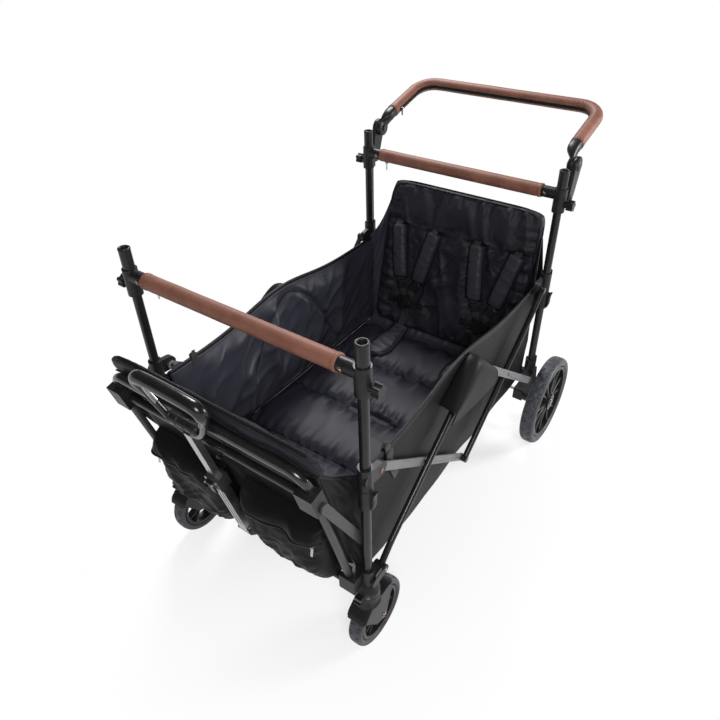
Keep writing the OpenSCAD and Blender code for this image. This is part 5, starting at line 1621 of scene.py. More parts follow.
@dataclass
class Grips:
    """Leather sleeves on the two bars and the push handle, hemmed, seamed and zipped."""

    radius: float = 0.0182
    bar_half: float = 0.2590
    push_half: float = 0.294
    push_run: float = 0.217747
    push_bend: float = 0.062
    push_start: float = 0.0270

    def build(self) -> None:
        """Makes the three sleeves with their hems, stitches and zips."""
        bars = (("front", FRONT_Y, "front_frame", 1.0), ("rear", REAR_Y, "rear_frame", -1.0))
        for name, y, body, face in bars:
            x = np.linspace(-self.bar_half, self.bar_half, 150)
            path = stack(x, y, BAR_Z)
            self.sleeve(f"{name}_bar", path, body, f"{name}_bar_grip", (0.0, face * 0.35, -1.0), False)
        self.sleeve("push_handle", self.push_path(), "push_handle", "push_handle_grip", None, True)

    def push_path(self) -> Array:
        """Half loop of the push handle: leg, round corner, cross bar, corner and leg."""
        turn = np.linspace(0, np.pi / 2, 26)
        straight = np.linspace(self.push_start, self.push_run - self.push_bend, 30)
        leg = stack(-self.push_half, straight)
        arc = stack(-self.push_half + self.push_bend * (1 - np.cos(turn)),
                    self.push_run - self.push_bend + self.push_bend * np.sin(turn))[1:]
        across = np.linspace(-self.push_half + self.push_bend, self.push_half - self.push_bend, 80)[1:-1]
        bar = stack(across, self.push_run)
        half = np.vstack([leg, arc])
        loop = np.vstack([half, bar, half[::-1] * np.array([-1, 1])])
        return PUSH.world(raised(loop, 0.0))

    def sleeve(self, name: str, path: Array, body: str, node: str, seam_way: Optional[Numbers], zipped: bool) -> None:
        """One sleeve: a round section, a little fuller away from the seam, creased at bends.

        Args:
            name: What it covers.
            path: Its middle line.
            body: The body it rides on.
            node: The solid it stands for.
            seam_way: Which way its seam faces, or None for the inside of the loop.
            zipped: Whether the seam is a zip.
        """
        sides = 28
        up = np.array([0.0, 0.0, 1.0]) if not zipped else PUSH.way([0, 0, 1])
        form = sweep(path, circle(self.radius, sides), up)
        along, beside, above = frames(path, up)
        if zipped:
            seam = beside * np.sign((beside * (PUSH.world([0, 0.1, 0]) - path)).sum(-1, keepdims=True))
        else:
            seam = np.broadcast_to(unit(np.array(seam_way)), path.shape)
        run = travelled(path)
        bend = np.zeros(len(path))
        bend[1:-1] = np.linalg.norm(along[2:] - along[:-2], axis=1) / (run[2:] - run[:-2])
        middle = np.repeat(path, sides, axis=0)
        away = unit(form.points - middle)
        facing = (away * np.repeat(seam, sides, axis=0)).sum(-1)
        groove = -0.0010 * bell(1 - facing, 0.02)
        slack = 0.00016 * ripples(101, form.points, 0.09)
        pleat = 0.0011 * np.sin(np.repeat(run, sides) * 2 * np.pi / 0.0105) * np.repeat(bend, sides) / 16.0
        pleat *= smooth((facing + 0.2) / 0.8)
        end = np.minimum(run, run[-1] - run)
        hem = 0.0007 * smooth((0.0095 - end) / 0.0015) - 0.0006 * bell(end - 0.011, 0.0012)
        size = groove + slack + pleat + np.repeat(hem, sides)
        form = Form(form.points + away * size[:, None], form.faces, form.uv)
        piece(f"{name}_leather", form, TAN, "leather", body, [node])
        turn = np.linspace(0, 2 * np.pi, 48)
        hems = []
        for at, step in ((0, 1), (-1, -1)):
            spot = path[at] + along[at] * step * 0.0075
            ring = spot + (self.radius + 0.0006) * (np.cos(turn)[:, None] * beside[at]
                                                    + np.sin(turn)[:, None] * above[at])
            hems.append(stitch_row(ring, along[at], 0.0042, 0.0028, 0.0008))
        line = path + seam * (self.radius - 0.0004)
        inside = slice(4, len(path) - 4)
        if zipped:
            tape = sweep(line[inside] + seam[inside] * 0.0006, oblong(0.0105, 0.0020, 3.0, 14), seam[inside])
            piece(f"{name}_zip", tape, PIPING, "leather", body)
            teeth = [line[inside] + seam[inside] * 0.0020 + up * step for step in (-0.0010, 0.0010)]
            piece(f"{name}_teeth", joined(stitch_row(t, up, 0.0030, 0.0022, 0.0020) for t in teeth), BLACK, "leather",
                  body)
        else:
            side_way = np.cross(along, seam)
            hems += [stitch_row((line + side_way * step)[inside], seam[inside], 0.0050) for step in (-0.003, 0.003)]
        piece(f"{name}_thread", joined(hems), BROWN_THREAD, "leather", body)
        tag_at = line[6] + seam[6] * 0.002
        piece(f"{name}_zip_pull", self.zip_pull(tag_at), STEEL, "leather", body, sharp=MOULDED_EDGE)

    @staticmethod
    def zip_pull(at: Array) -> Form:
        """Small zip slider with a hanging tab."""
        slider = block((0.009, 0.006, 0.006), 0.0016).moved(at)
        tab = plate(round_rect(0.0050, 0.020, 0.0022), 0.0015, 0.0004)
        return joined([slider, tab.moved(at + np.array([0.0, 0.0008, -0.0125]), UPRIGHT)])


# Wheels


@dataclass
class Wheel:
    """Tyre with hooked tread blocks, and a rim with paired spokes and a hub cap."""

    kind: str
    side: Side
    body: str
    centre: tuple[float, float, float]
    radius: float
    width: float
    rim_radius: float
    hooks: int
    spokes: int
    around: int = 420
    across: int = 56

    def build(self) -> None:
        """Makes the tyre, the rim and the hub trim."""
        end = self.side.label
        piece(f"{self.kind}_tread_{end}", self.tyre(), TYRE, "tyre", self.body, [f"{self.kind}_tyre_{end}"])
        piece(f"{self.kind}_wheel_{end}", self.rim(), RIM_BLACK, "rim_plastic", self.body, [f"{self.kind}_rim_{end}"],
              sharp=BOLT_EDGE)
        piece(f"{self.kind}_cap_{end}", self.cap(), GLOSS_BLACK, "rim_plastic", self.body, sharp=MOULDED_EDGE)

    def rim(self) -> Form:
        """Barrel, hub and paired spokes that narrow outwards and splay apart."""
        out, deep = self.rim_radius, self.width * 0.40
        barrel = [(out - 0.0090, -deep), (out - 0.0005, -deep), (out - 0.0020, -deep * 0.8),
                  (out - 0.0020, deep * 0.8), (out - 0.0005, deep), (out - 0.0060, deep + 0.0006),
                  (out - 0.0090, deep), (out - 0.0085, deep * 0.6), (out - 0.0085, -deep * 0.6),
                  (out - 0.0090, -deep)]
        hub = self.rim_radius * 0.235
        core = [(0.0, -deep * 0.95), (hub * 0.9, -deep * 0.95), (hub, -deep * 0.85), (hub, deep * 0.85),
                (hub * 0.9, deep * 0.95), (0.0, deep * 0.95)]
        forms = [lathe(barrel, self.centre, ACROSS, 72), lathe(core, self.centre, ACROSS, 40)]
        share = np.linspace(0, 1, 14)
        size = stack(1.0 - 0.35 * share + 0.30 * share ** 6, 1.0 - 0.22 * np.sin(np.pi * share) * share)
        section = oblong(self.rim_radius * 0.074, self.width * 0.62, 5.0, 20)
        for number in range(self.spokes):
            for sign in ENDS:
                start = 2 * np.pi * number / self.spokes
                turn = start + sign * (0.15 + 0.10 * share)
                r = hub * 0.8 + share * (self.rim_radius - 0.004 - hub * 0.8)
                path = stack(self.centre[0], self.centre[1] + r * np.cos(turn), self.centre[2] + r * np.sin(turn))
                forms.append(sweep(path, section, ACROSS, size))
        return joined(forms)

    def section(self) -> tuple[Array, Array, Array]:
        """Tyre section: a rounded tread, full sidewalls and a bead that sits on the rim.

        Returns:
            Radius, place across and distance along the section.
        """
        turn = np.linspace(-np.pi * 0.86, np.pi * 0.86, self.across)
        middle = (self.radius + self.rim_radius) / 2
        tall = (self.radius - self.rim_radius) / 2
        c, s = np.cos(turn), np.sin(turn)
        r = middle + tall * signed(c, 0.80)
        x = self.width / 2 * signed(s, 0.70)
        bead = np.abs(turn) > np.pi * 0.80
        r = np.where(bead, self.rim_radius - 0.001, r)
        run = travelled(stack(r, x))
        return r, x, run - run[-1] / 2

    def tyre(self) -> Form:
        """Turned section; hooks are cut where the distance to a U-shaped line is under half a groove."""
        r, x, run = self.section()
        turn = full_turn(self.around)
        cell = 2 * np.pi * self.radius / self.hooks
        arc, along = crossed(turn * self.radius, run)
        half_cell = np.where(along > 0, 0.0, cell / 2)
        u = (arc + half_cell + cell / 2) % cell - cell / 2
        scale = self.width / 0.046
        leg, start = 0.0062 * scale, 0.0125 * scale
        away = np.abs(along)
        straight = np.abs(np.abs(u) - leg)
        bow = np.abs(np.hypot(u, away - start) - leg)
        distance = np.where(away > start, straight, bow)
        reach = smooth((0.0185 * scale - away) / 0.002) * smooth((away - 0.003 * scale) / 0.003)
        groove = smooth((0.0026 - distance) / 0.0012) * reach
        ring = smooth((0.0012 - np.abs(away - 0.0285 * scale)) / 0.0008) * 0.5
        cut = 0.0030 * scale * np.maximum(groove, ring)
        slope_r, slope_x = np.gradient(r, run), np.gradient(x, run)
        length = np.hypot(slope_r, slope_x)
        radius = r[None] - cut * (slope_x / length)[None]
        place = x[None] + cut * (slope_r / length)[None]
        points = stack(self.centre[0] + place, self.centre[1] + radius * np.cos(turn)[:, None],
                       self.centre[2] + radius * np.sin(turn)[:, None])
        points = np.concatenate([points, points[:1]])
        faces = grid_faces(len(points), self.across, True)
        uv = stack(np.vstack([arc, arc[:1]]), np.vstack([along, along[:1]]))
        return Form(points.reshape(-1, 3), faces, uv.reshape(-1, 2))

    def cap(self) -> Form:
        """Hub cap with a stepped face, on the outer side."""
        size = self.rim_radius * 0.22
        profile = np.array([(1.0, 0.0), (1.0, 0.004), (0.93, 0.0055), (0.70, 0.0060), (0.66, 0.0048), (0.50, 0.0052),
                            (0.46, 0.0068), (0.0, 0.0076)]) * np.array([size, 1.0])
        place = np.array(self.centre) + np.array([self.side.value * self.width * 0.375, 0, 0])
        return lathe(np.vstack([[(0.0, 0.0)], profile]), place, (self.side.value, 0, 0), 40)


@dataclass
class CasterFork:
    """Moulded fork: a crown under the housing, a saddle over the tyre, two legs and the axle bolt."""

    side: Side
    axle_y: float = FRONT_Y + 0.028
    axle_z: float = 0.092
    guard: float = 0.0967
    leg_in: float = 0.0216
    leg_thick: float = 0.0060
    crown_radius: float = 0.0282
    crown_top: float = 0.2060
    ring_heights: tuple[float, float] = (0.2085, 0.2255)

    def build(self) -> None:
        """Makes the fork, its bolts and the rings round its housing."""
        name = self.side.label
        fork = joined([self.stem(), self.saddle(), self.leg(1), self.leg(-1)])
        piece(f"caster_arch_{name}", fork, BLACK, "black_plastic", f"caster_{name}", [f"caster_fork_{name}"],
              sharp=42)
        centre = np.array([self.side.value * POST_X, self.axle_y, self.axle_z])
        face = self.leg_in + self.leg_thick - 0.0006
        bolts = [Hardware.bolt(centre + np.array([s * face, 0, 0]), (s, 0, 0), 0.0062) for s in ENDS]
        pin = tube(centre + np.array([[-face, 0, 0], [face, 0, 0]]), 0.005, UP, 20)
        piece(f"caster_bolts_{name}", joined([*bolts, pin]), COPPER, "axle_steel", f"caster_{name}", sharp=BOLT_EDGE)
        piece(f"caster_rings_{name}", self.rings(), BLACK, "black_plastic", "front_frame", sharp=MOULDED_EDGE)
        screw = Hardware.bolt((self.side.value * POST_X + 0.0164, FRONT_Y - 0.0233, 0.2180), (0.575, -0.818, 0),
                              0.0030)
        piece(f"caster_screw_{name}", screw, COPPER, "axle_steel", "front_frame", sharp=BOLT_EDGE)

    def stem(self) -> Form:
        """Crown: a round boss whose lower edge follows the saddle, z = axle + sqrt(guard^2 - (y - axle)^2)."""
        rows, sides = 14, 64
        share, turn = crossed(np.linspace(0, 1, rows), full_turn(sides))
        radius = self.crown_radius + 0.0045 * share ** 5
        y = FRONT_Y + radius * np.sin(turn)
        low = self.axle_z + np.sqrt(self.guard ** 2 - (y - self.axle_y) ** 2)
        z = self.crown_top + share * (low - self.crown_top)
        points = stack(self.side.value * POST_X + radius * np.cos(turn), y, z).reshape(-1, 3)
        return Form(points, grid_faces(rows, sides, True) + [list(range(sides))], points[:, :2])

    def saddle(self) -> Form:
        """Guard: an oblong section carried round the axle, narrower and thinner at both ends."""
        turn = np.radians(np.linspace(64, 147, 48))
        path = stack(self.side.value * POST_X, self.axle_y + self.guard * np.cos(turn),
                     self.axle_z + self.guard * np.sin(turn))
        share = np.linspace(0, 1, len(path))
        end = smooth(share / 0.10) * smooth((1 - share) / 0.10)
        size = stack(0.86 + 0.14 * end, 0.45 + 0.55 * end)
        return sweep(path, oblong(2 * (self.leg_in + self.leg_thick), 0.0046, 5.0, 40), (0, -0.3, 1), size)

    def leg(self, way: int) -> Form:
        """Flat leg from the saddle to the axle: straight sides, a rounded foot and softened rims."""
        foot = np.radians(np.linspace(-118, 8, 12))
        outline = [(0.013 * np.cos(a), 0.013 * np.sin(a)) for a in foot]
        outline += [(0.0200, 0.0300), (0.0330, 0.0700), (0.0330, 0.0905)]
        outline += [(self.guard * np.cos(a), self.guard * np.sin(a)) for a in np.radians(np.linspace(72, 144, 16))]
        outline += [(-0.0620, 0.0420), (-0.0330, 0.0000)]
        flat = plate(np.array(outline), self.leg_thick, 0.0014)
        start = self.leg_in if way > 0 else -self.leg_in - self.leg_thick
        return flat.moved((self.side.value * POST_X + start, self.axle_y, self.axle_z), SIDEWAYS)

    def rings(self) -> Form:
        """Two raised rings round the housing."""
        centre = (self.side.value * POST_X, FRONT_Y, 0.0)
        return joined(lathe([(0.0282, z - 0.0014), (0.0292, z - 0.0008), (0.0292, z + 0.0008), (0.0282, z + 0.0014)],
                            centre, UP, 48) for z in self.ring_heights)


# The harness and the joins of the floor


def strap_section(width: float) -> Array:
    """Section of flat webbing."""
    return oblong(width, 0.0017, 5.0, 16)


def padded_strip(path: Array, up: Numbers, half: Array, thick: float, seed: int, columns: int = 30) -> Form:
    """Stuffed strip along a path: width by the path, thickness rounded to nothing at every edge.

    Args:
        path: Middle line of its underside.
        up: Which way it is stuffed.
        half: Half width at each point of the path.
        thick: Thickness in the middle.
        seed: Draw of its puckers.
        columns: Points across.

    Returns:
        The strip.
    """
    _, beside, above = frames(path, up)
    b = np.linspace(-1, 1, columns)[None, :, None]
    run = travelled(path)
    a = 2 * run / run[-1] - 1
    flat = path[:, None] + b * half[:, None, None] * beside[:, None]
    across = b[..., 0] * half[:, None]
    where = stack(run[:, None], across * 0.35)
    rounding = rounded(b[..., 0], 4) * rounded(a, 30)[:, None]
    edge = smooth((np.abs(b[..., 0]) - 0.35) / 0.5)
    pucker = ripples(seed, where, 0.022) * 0.0016 * edge + creases(seed + 1, where, 0.05) * 0.0016
    top = flat + ((thick + pucker) * rounding)[..., None] * above[:, None]
    return pillow(top, flat, where)


def border(path: Array, up: Numbers, half: Array, rise: float, radius: float) -> Form:
    """Piping round a strip, at a height over its underside.

    Args:
        path: Middle line of the strip's underside.
        up: Which way the strip is stuffed.
        half: Half width at each point.
        rise: Height of the piping.
        radius: Piping radius.

    Returns:
        The piping as a closed cord.
    """
    _, beside, above = frames(path, up)
    left, right = path + beside * half[:, None], path - beside * half[:, None]
    ring = np.vstack([left, right[::-1]]) + np.vstack([above, above[::-1]]) * rise
    ring = curve_through(np.vstack([ring, ring[:1]])[::2], 130)[:-1]
    return sweep(ring, circle(radius, 8), np.asarray(up, float), closed=True)


@dataclass
class SeatFloorJoin:
    """Floor board under the cushion, and the cloths that join the floor to the seat back and the front panel."""

    half: float = 0.2835
    front: float = -0.5060
    rear: float = 0.4020
    rear_line: tuple = ((0.318, 0.2800), (0.335, 0.2775), (0.352, 0.2790), (0.3635, 0.2900), (0.3690, 0.3080))
    front_line: tuple = ((-0.490, 0.2790), (-0.508, 0.2765), (-0.520, 0.2775), (-0.5270, 0.2830), (-0.5315, 0.2960))

    def build(self) -> None:
        """Makes the board and the joining cloths."""
        outline = round_rect(2 * self.half, self.rear - self.front, 0.012)
        board = plate(outline, 0.0058, 0.0012).moved((0, (self.rear + self.front) / 2, 0.2674))
        base = piece("floor_board", board, OUTER, sharp=30)
        join = piece("seat_join", self.cloth(self.rear_line), LINING, wall=CLOTH_WALL)
        front = piece("front_join", self.cloth(self.front_line), LINING, wall=CLOTH_WALL)
        folds_away(base, front)

    def cloth(self, points: tuple) -> Form:
        """Cloth that runs from the cushion's end and up under the panel beside it, with small gathers."""
        line = curve_through(points, 20)
        x = np.linspace(-0.278, 0.278, 120)
        gather = 0.0022 * ripples(121, stack(x, x * 0), 0.028)
        lift = np.sin(np.linspace(0, np.pi, 20))[:, None] * gather[None]
        points = stack(x[None], line[:, :1] - lift, line[:, 1:] + np.abs(lift))
        run = np.broadcast_to(travelled(line)[:, None], points.shape[:2])
        return surface(points, stack(points[..., 0], run))


@dataclass
class Harness:
    """Two seats' harness: piped shoulder pads, webbing, slide buckles, hub buckles and crotch pads."""

    tops: tuple = ((-0.202, -0.071), (0.077, 0.210))
    feet: tuple = ((-0.168, -0.104), (0.103, 0.171))
    hubs: tuple[float, float] = (-0.136, 0.137)
    top_up: float = 0.372
    foot_up: float = 0.200
    hub_up: float = 0.118
    out: float = 0.0265
    pad_half: float = 0.0245
    pad_thick: float = 0.0185
    tongue: tuple = ((0.338, 0.3130), (0.316, 0.3020), (0.285, 0.2985), (0.225, 0.2980), (0.158, 0.2970))
    pieces: tuple = (("harness_shoulder_pads", "pads", SATIN, "padded_cloth"),
                     ("harness_crotch_pads", "crotch", SATIN, "padded_cloth"),
                     ("harness_piping", "piping", PIPING, "padded_cloth"),
                     ("crotch_piping", "crotch_edge", PIPING, "padded_cloth"),
                     ("harness_webbing", "webbing", STRAP, "webbing"),
                     ("harness_slide_buckles", "locks", GLOSS_BLACK, "black_plastic"),
                     ("harness_hubs", "hubs", GLOSS_BLACK, "black_plastic"),
                     ("harness_thread", "thread", THREAD, "padded_cloth"))
    stands_for: dict[str, list[str]] = field(default_factory=lambda: {
        "pads": ["harness_pads"], "webbing": ["harness_straps"]})

    def build(self) -> None:
        """Makes each kind of piece for both seats."""
        kinds: dict[str, list[Form]] = defaultdict(list)
        for seat in range(2):
            self.seat(seat, kinds)
        made = {}
        for name, kind, finish, slot in self.pieces:
            edge = MOULDED_EDGE if slot == "black_plastic" else None
            nodes = self.stands_for.get(kind, ())
            made[kind] = piece(name, joined(kinds[kind]), finish, slot, stands_for=nodes, sharp=edge)
        for kind in ("pads", "crotch"):
            made[kind]
        folds_away(made["crotch"], made["crotch_edge"])

    @staticmethod
    def on_back(points: Sequence[Numbers], count: int) -> Array:
        """Smooth path over the seat back through rows of (across, out, up)."""
        line = curve_through(points, count)
        return BACK.world(stack(line[:, 0], -line[:, 1], line[:, 2]))

    @staticmethod
    def facing() -> Array:
        """Direction that the seat back faces."""
        return BACK.way([0, -1, 0])

    def laid(self, form: Form, across: float, out: float, up: float, turn: float = 0.0) -> Form:
        """Lays a form drawn in the xy plane on the seat back.

        Args:
            form: The form, standing on z = 0.
            across: Place across.
            out: Place in front of the back's plane.
            up: Place up the back.
            turn: Turn in the plane, in radians.

        Returns:
            The form in the wagon's axes.
        """
        c, s = math.cos(turn), math.sin(turn)
        spun = np.array([[c, -s, 0], [s, c, 0], [0, 0, 1]])
        return form.moved((across, -out, up), UPRIGHT @ spun).placed(BACK)

    def seat(self, seat: int, kinds: dict[str, list[Form]]) -> None:
        """Adds one seat's pieces to the lists.

        Args:
            seat: 0 for the left seat, 1 for the right.
            kinds: Lists of forms by kind.
        """
        hub = self.hubs[seat]
        face = self.facing()
        for number in range(2):
            top, foot = self.tops[seat][number], self.feet[seat][number]
            lean = foot - top
            line = [(top, self.out - 0.003, self.top_up), (top + 0.3 * lean, self.out + 0.002, 0.320),
                    (top + 0.7 * lean, self.out + 0.004, 0.250), (foot, self.out + 0.001, self.foot_up)]
            path = self.on_back(line, 44)
            run = np.linspace(-1, 1, len(path))
            half = self.pad_half * (1 - 0.20 * np.abs(run) ** 14) * (1 + 0.03 * np.sin(run * 3))
            kinds["pads"].append(padded_strip(path, face, half, self.pad_thick, 130 + 4 * seat + number))
            kinds["piping"].append(border(path, face, half + 0.0008, 0.0050, 0.0027))
            mid = 0.45
            knee = (foot + (hub - foot) * mid * 0.9, self.out + 0.006,
                    self.foot_up - (self.foot_up - self.hub_up) * mid)
            end = (hub + 0.30 * (foot - hub), self.out + 0.010, self.hub_up + 0.016)
            strap = self.on_back([(foot - 0.2 * lean, self.out + 0.006, self.foot_up + 0.02),
                                  (foot, self.out + 0.006, self.foot_up - 0.004), knee, end], 36)
            kinds["webbing"].append(sweep(strap, strap_section(0.0220), face))
            loop = self.on_back([(top, self.out + 0.011, self.top_up - 0.012),
                                 (top, self.out + 0.012, self.top_up - 0.002),
                                 (top, self.out - 0.002, self.top_up + 0.010)], 14)
            kinds["webbing"].append(sweep(loop, strap_section(0.0230), face))
            turn = math.atan2(-(knee[0] - foot), self.foot_up - knee[2])
            kinds["locks"].append(self.slide_buckle(knee[0] * 0.55 + foot * 0.45, self.foot_up - 0.021, -turn))
            kinds["thread"].append(stitch_row(path + face * 0.0187, face, 0.0052))
        self.hub_buckle(hub, kinds)
        self.crotch(hub, kinds, 140 + seat)

    def slide_buckle(self, across: float, up: float, turn: float) -> Form:
        """Ladder lock: a frame of round bar with two bars across it."""
        ring = raised(round_rect(0.030, 0.024, 0.004, 4), 0.0026)
        frame = sweep(ring, oblong(0.0048, 0.0052, 3.0, 10), UP, closed=True)
        bars = [sweep(np.array([(-0.014, y, z), (0.0, y, z), (0.014, y, z)]), oblong(0.0040, 0.0040, 3.0, 10), UP)
                for y, z in ((0.0035, 0.0032), (-0.0045, 0.0020))]
        return self.laid(joined([frame, *bars]), across, self.out + 0.0065, up, turn)

    def hub_buckle(self, hub: float, kinds: dict[str, list[Form]]) -> None:
        """Hub with a pressed button, four prongs and two waist straps that run to the seat's corner.

        Args:
            hub: Place across.
            kinds: Lists of forms by kind.
        """
        turn = full_turn(36)
        shape = 0.0215 * (1 + 0.10 * np.cos(4 * turn))[:, None] * stack(np.cos(turn), np.sin(turn))
        out = self.out + 0.006
        kinds["hubs"].append(self.laid(plate(shape, 0.0150, 0.0028), hub, out, self.hub_up))
        button = lathe([(0.0, 0.0150), (0.0100, 0.0150), (0.0104, 0.0160), (0.0092, 0.0176), (0.0, 0.0182)],
                       (0, 0, 0), UP, 32)
        kinds["hubs"].append(self.laid(button, hub, out, self.hub_up))
        for sign in ENDS:
            for width, spin in ((0.018, 0.5), (0.022, 1.45)):
                prong = block((width, 0.024, 0.0090), 0.0026).moved((0, 0.022, 0.0075))
                kinds["hubs"].append(self.laid(prong, hub, out, self.hub_up, -sign * spin))
            tab = block((0.034, 0.027, 0.0080), 0.0030).moved((sign * 0.050, -0.004, 0.0060))
            kinds["locks"].append(self.laid(tab, hub, out - 0.002, self.hub_up, sign * 0.10))
            waist = self.on_back([(hub + sign * 0.030, out + 0.004, self.hub_up - 0.002),
                                  (hub + sign * 0.070, out + 0.001, self.hub_up - 0.008),
                                  (hub + sign * 0.088, out - 0.004, self.hub_up - 0.030),
                                  (hub + sign * 0.090, out - 0.009, 0.046)], 30)
            kinds["webbing"].append(sweep(waist, strap_section(0.0240), self.facing() + np.array([0, 0, 0.3])))

    def crotch(self, hub: float, kinds: dict[str, list[Form]], seed: int) -> None:
        """Tongue-shaped pad that lies forward on the floor, and the strap that it sleeves.

        Args:
            hub: Place across.
            kinds: Lists of forms by kind.
            seed: Draw of its puckers.
        """
        line = curve_through(self.tongue, 56)
        path = stack(hub, *line.T)
        run = np.linspace(0, 1, len(path))
        tip = np.clip((run - 0.72) / 0.2805, 0, 1) ** 2.4
        half = (0.0265 + 0.0150 * smooth(run / 0.7)) * np.sqrt(np.clip(1 - tip, 0, 1))
        half = np.maximum(half, 0.0015)
        kinds["crotch"].append(padded_strip(path, UP, half, 0.0135, seed, 34))
        kinds["crotch_edge"].append(border(path, UP, half + 0.0006, 0.0035, 0.0022))
        inner = np.maximum(half - 0.008, 0.0006)
        kinds["crotch_edge"].append(border(path[3:-3], UP, inner[3:-3], 0.0128, 0.0010))
        rise = np.array([BACK.world([hub, -(self.out + 0.008), self.hub_up - 0.016])])
        strap = curve_through(np.vstack([rise, rise * [1, 1, 0] + [0, -0.004, 0.352], [(hub, 0.330, 0.3230)],
                                         [(hub, 0.306, 0.3150)]]), 30)
        kinds["webbing"].append(sweep(strap, strap_section(0.0240), (0, -1, 0.6)))


# The pull handle and small trim


@dataclass
class PullHandle:
    """Loop grip of the pull handle, its bright inner trim, ringed barrel and black strips on the stem painted as the
    shade in each groove.
    """

    def build(self) -> None:
        """Makes the loop, trim, barrel and the painted groove shade."""
        piece("pull_loop", self.loop().placed(PULL), GLOSS_BLACK, "black_plastic", "pull_grip", ["handle_grip"])
        piece("pull_loop_trim", self.trim().placed(PULL), STEM, "stem_metal", "pull_grip")
        piece("pull_barrel", self.barrel().placed(PULL), BLACK, "black_plastic", "pull_grip", sharp=MOULDED_EDGE)
        # Painted shade: black strips proud of the stem stand in for the shade inside each groove.
        piece("pull_stem_grooves", self.grooves().placed(PULL), BLACK, "stem_metal", "pull_stem")

    @staticmethod
    def line() -> Array:
        """Line of the loop, from the barrel's left end over the grip to its right end."""
        half = [(-0.012, 0.0, 0.404), (-0.034, 0.0, 0.414), (-0.053, 0.0, 0.436), (-0.073, 0.0, 0.472),
                (-0.0875, 0.0, 0.507), (-0.0825, 0.0, 0.5265), (-0.060, 0.0, 0.5325)]
        other = [(-x, y, z) for x, y, z in half[::-1]]
        return curve_through(half + [(0.0, 0.0, 0.5345)] + other, 140)

    @staticmethod
    def size(line: Array) -> Array:
        """Radius of the loop: thick over the grip and slim on the arms."""
        return 0.0078 + 0.0064 * smooth((line[:, 2] - 0.478) / 0.040)

    def loop(self) -> Form:
        """Round section along the loop's line."""
        return sweep(self.line(), circle(1.0, 24), (0, 1, 0), self.size(self.line()))

    def trim(self) -> Form:
        """Bright strip along the inside of the loop."""
        line = self.line()[24:-24]
        inward = unit(np.array([0.0, 0.0, 0.488]) - line)
        return sweep(line + inward * (self.size(line) - 0.0006)[:, None], oblong(0.0105, 0.0032, 3.0, 14), inward)

    @staticmethod
    def barrel() -> Form:
        """Ringed barrel on the low bar, and caps at its ends."""
        x = np.linspace(-0.043, 0.043, 90)
        ring = np.abs(((x / 0.0215) % 1) - 0.5)
        radius = 0.0122 - 0.0016 * smooth((0.08 - ring) / 0.05) - 0.004 * smooth((np.abs(x) - 0.039) / 0.004)
        profile = stack(np.r_[0.0, radius, 0.0], np.r_[x[0], x, x[-1]])
        return lathe(profile, (0.0, 0.0, 0.434), ACROSS, 32)

    @staticmethod
    def grooves() -> Form:
        """Black strips on the front and back of the outer stem: painted shade that stands in for each groove."""
        lines = [stack(x, y, np.linspace(0.034, 0.200, 12)) for x in (-0.0060, 0.0060) for y in (-0.01105, 0.01105)]
        return joined(sweep(line, oblong(0.0030, 0.0008, 4.0, 10), (0, np.sign(line[0, 1]), 0)) for line in lines)


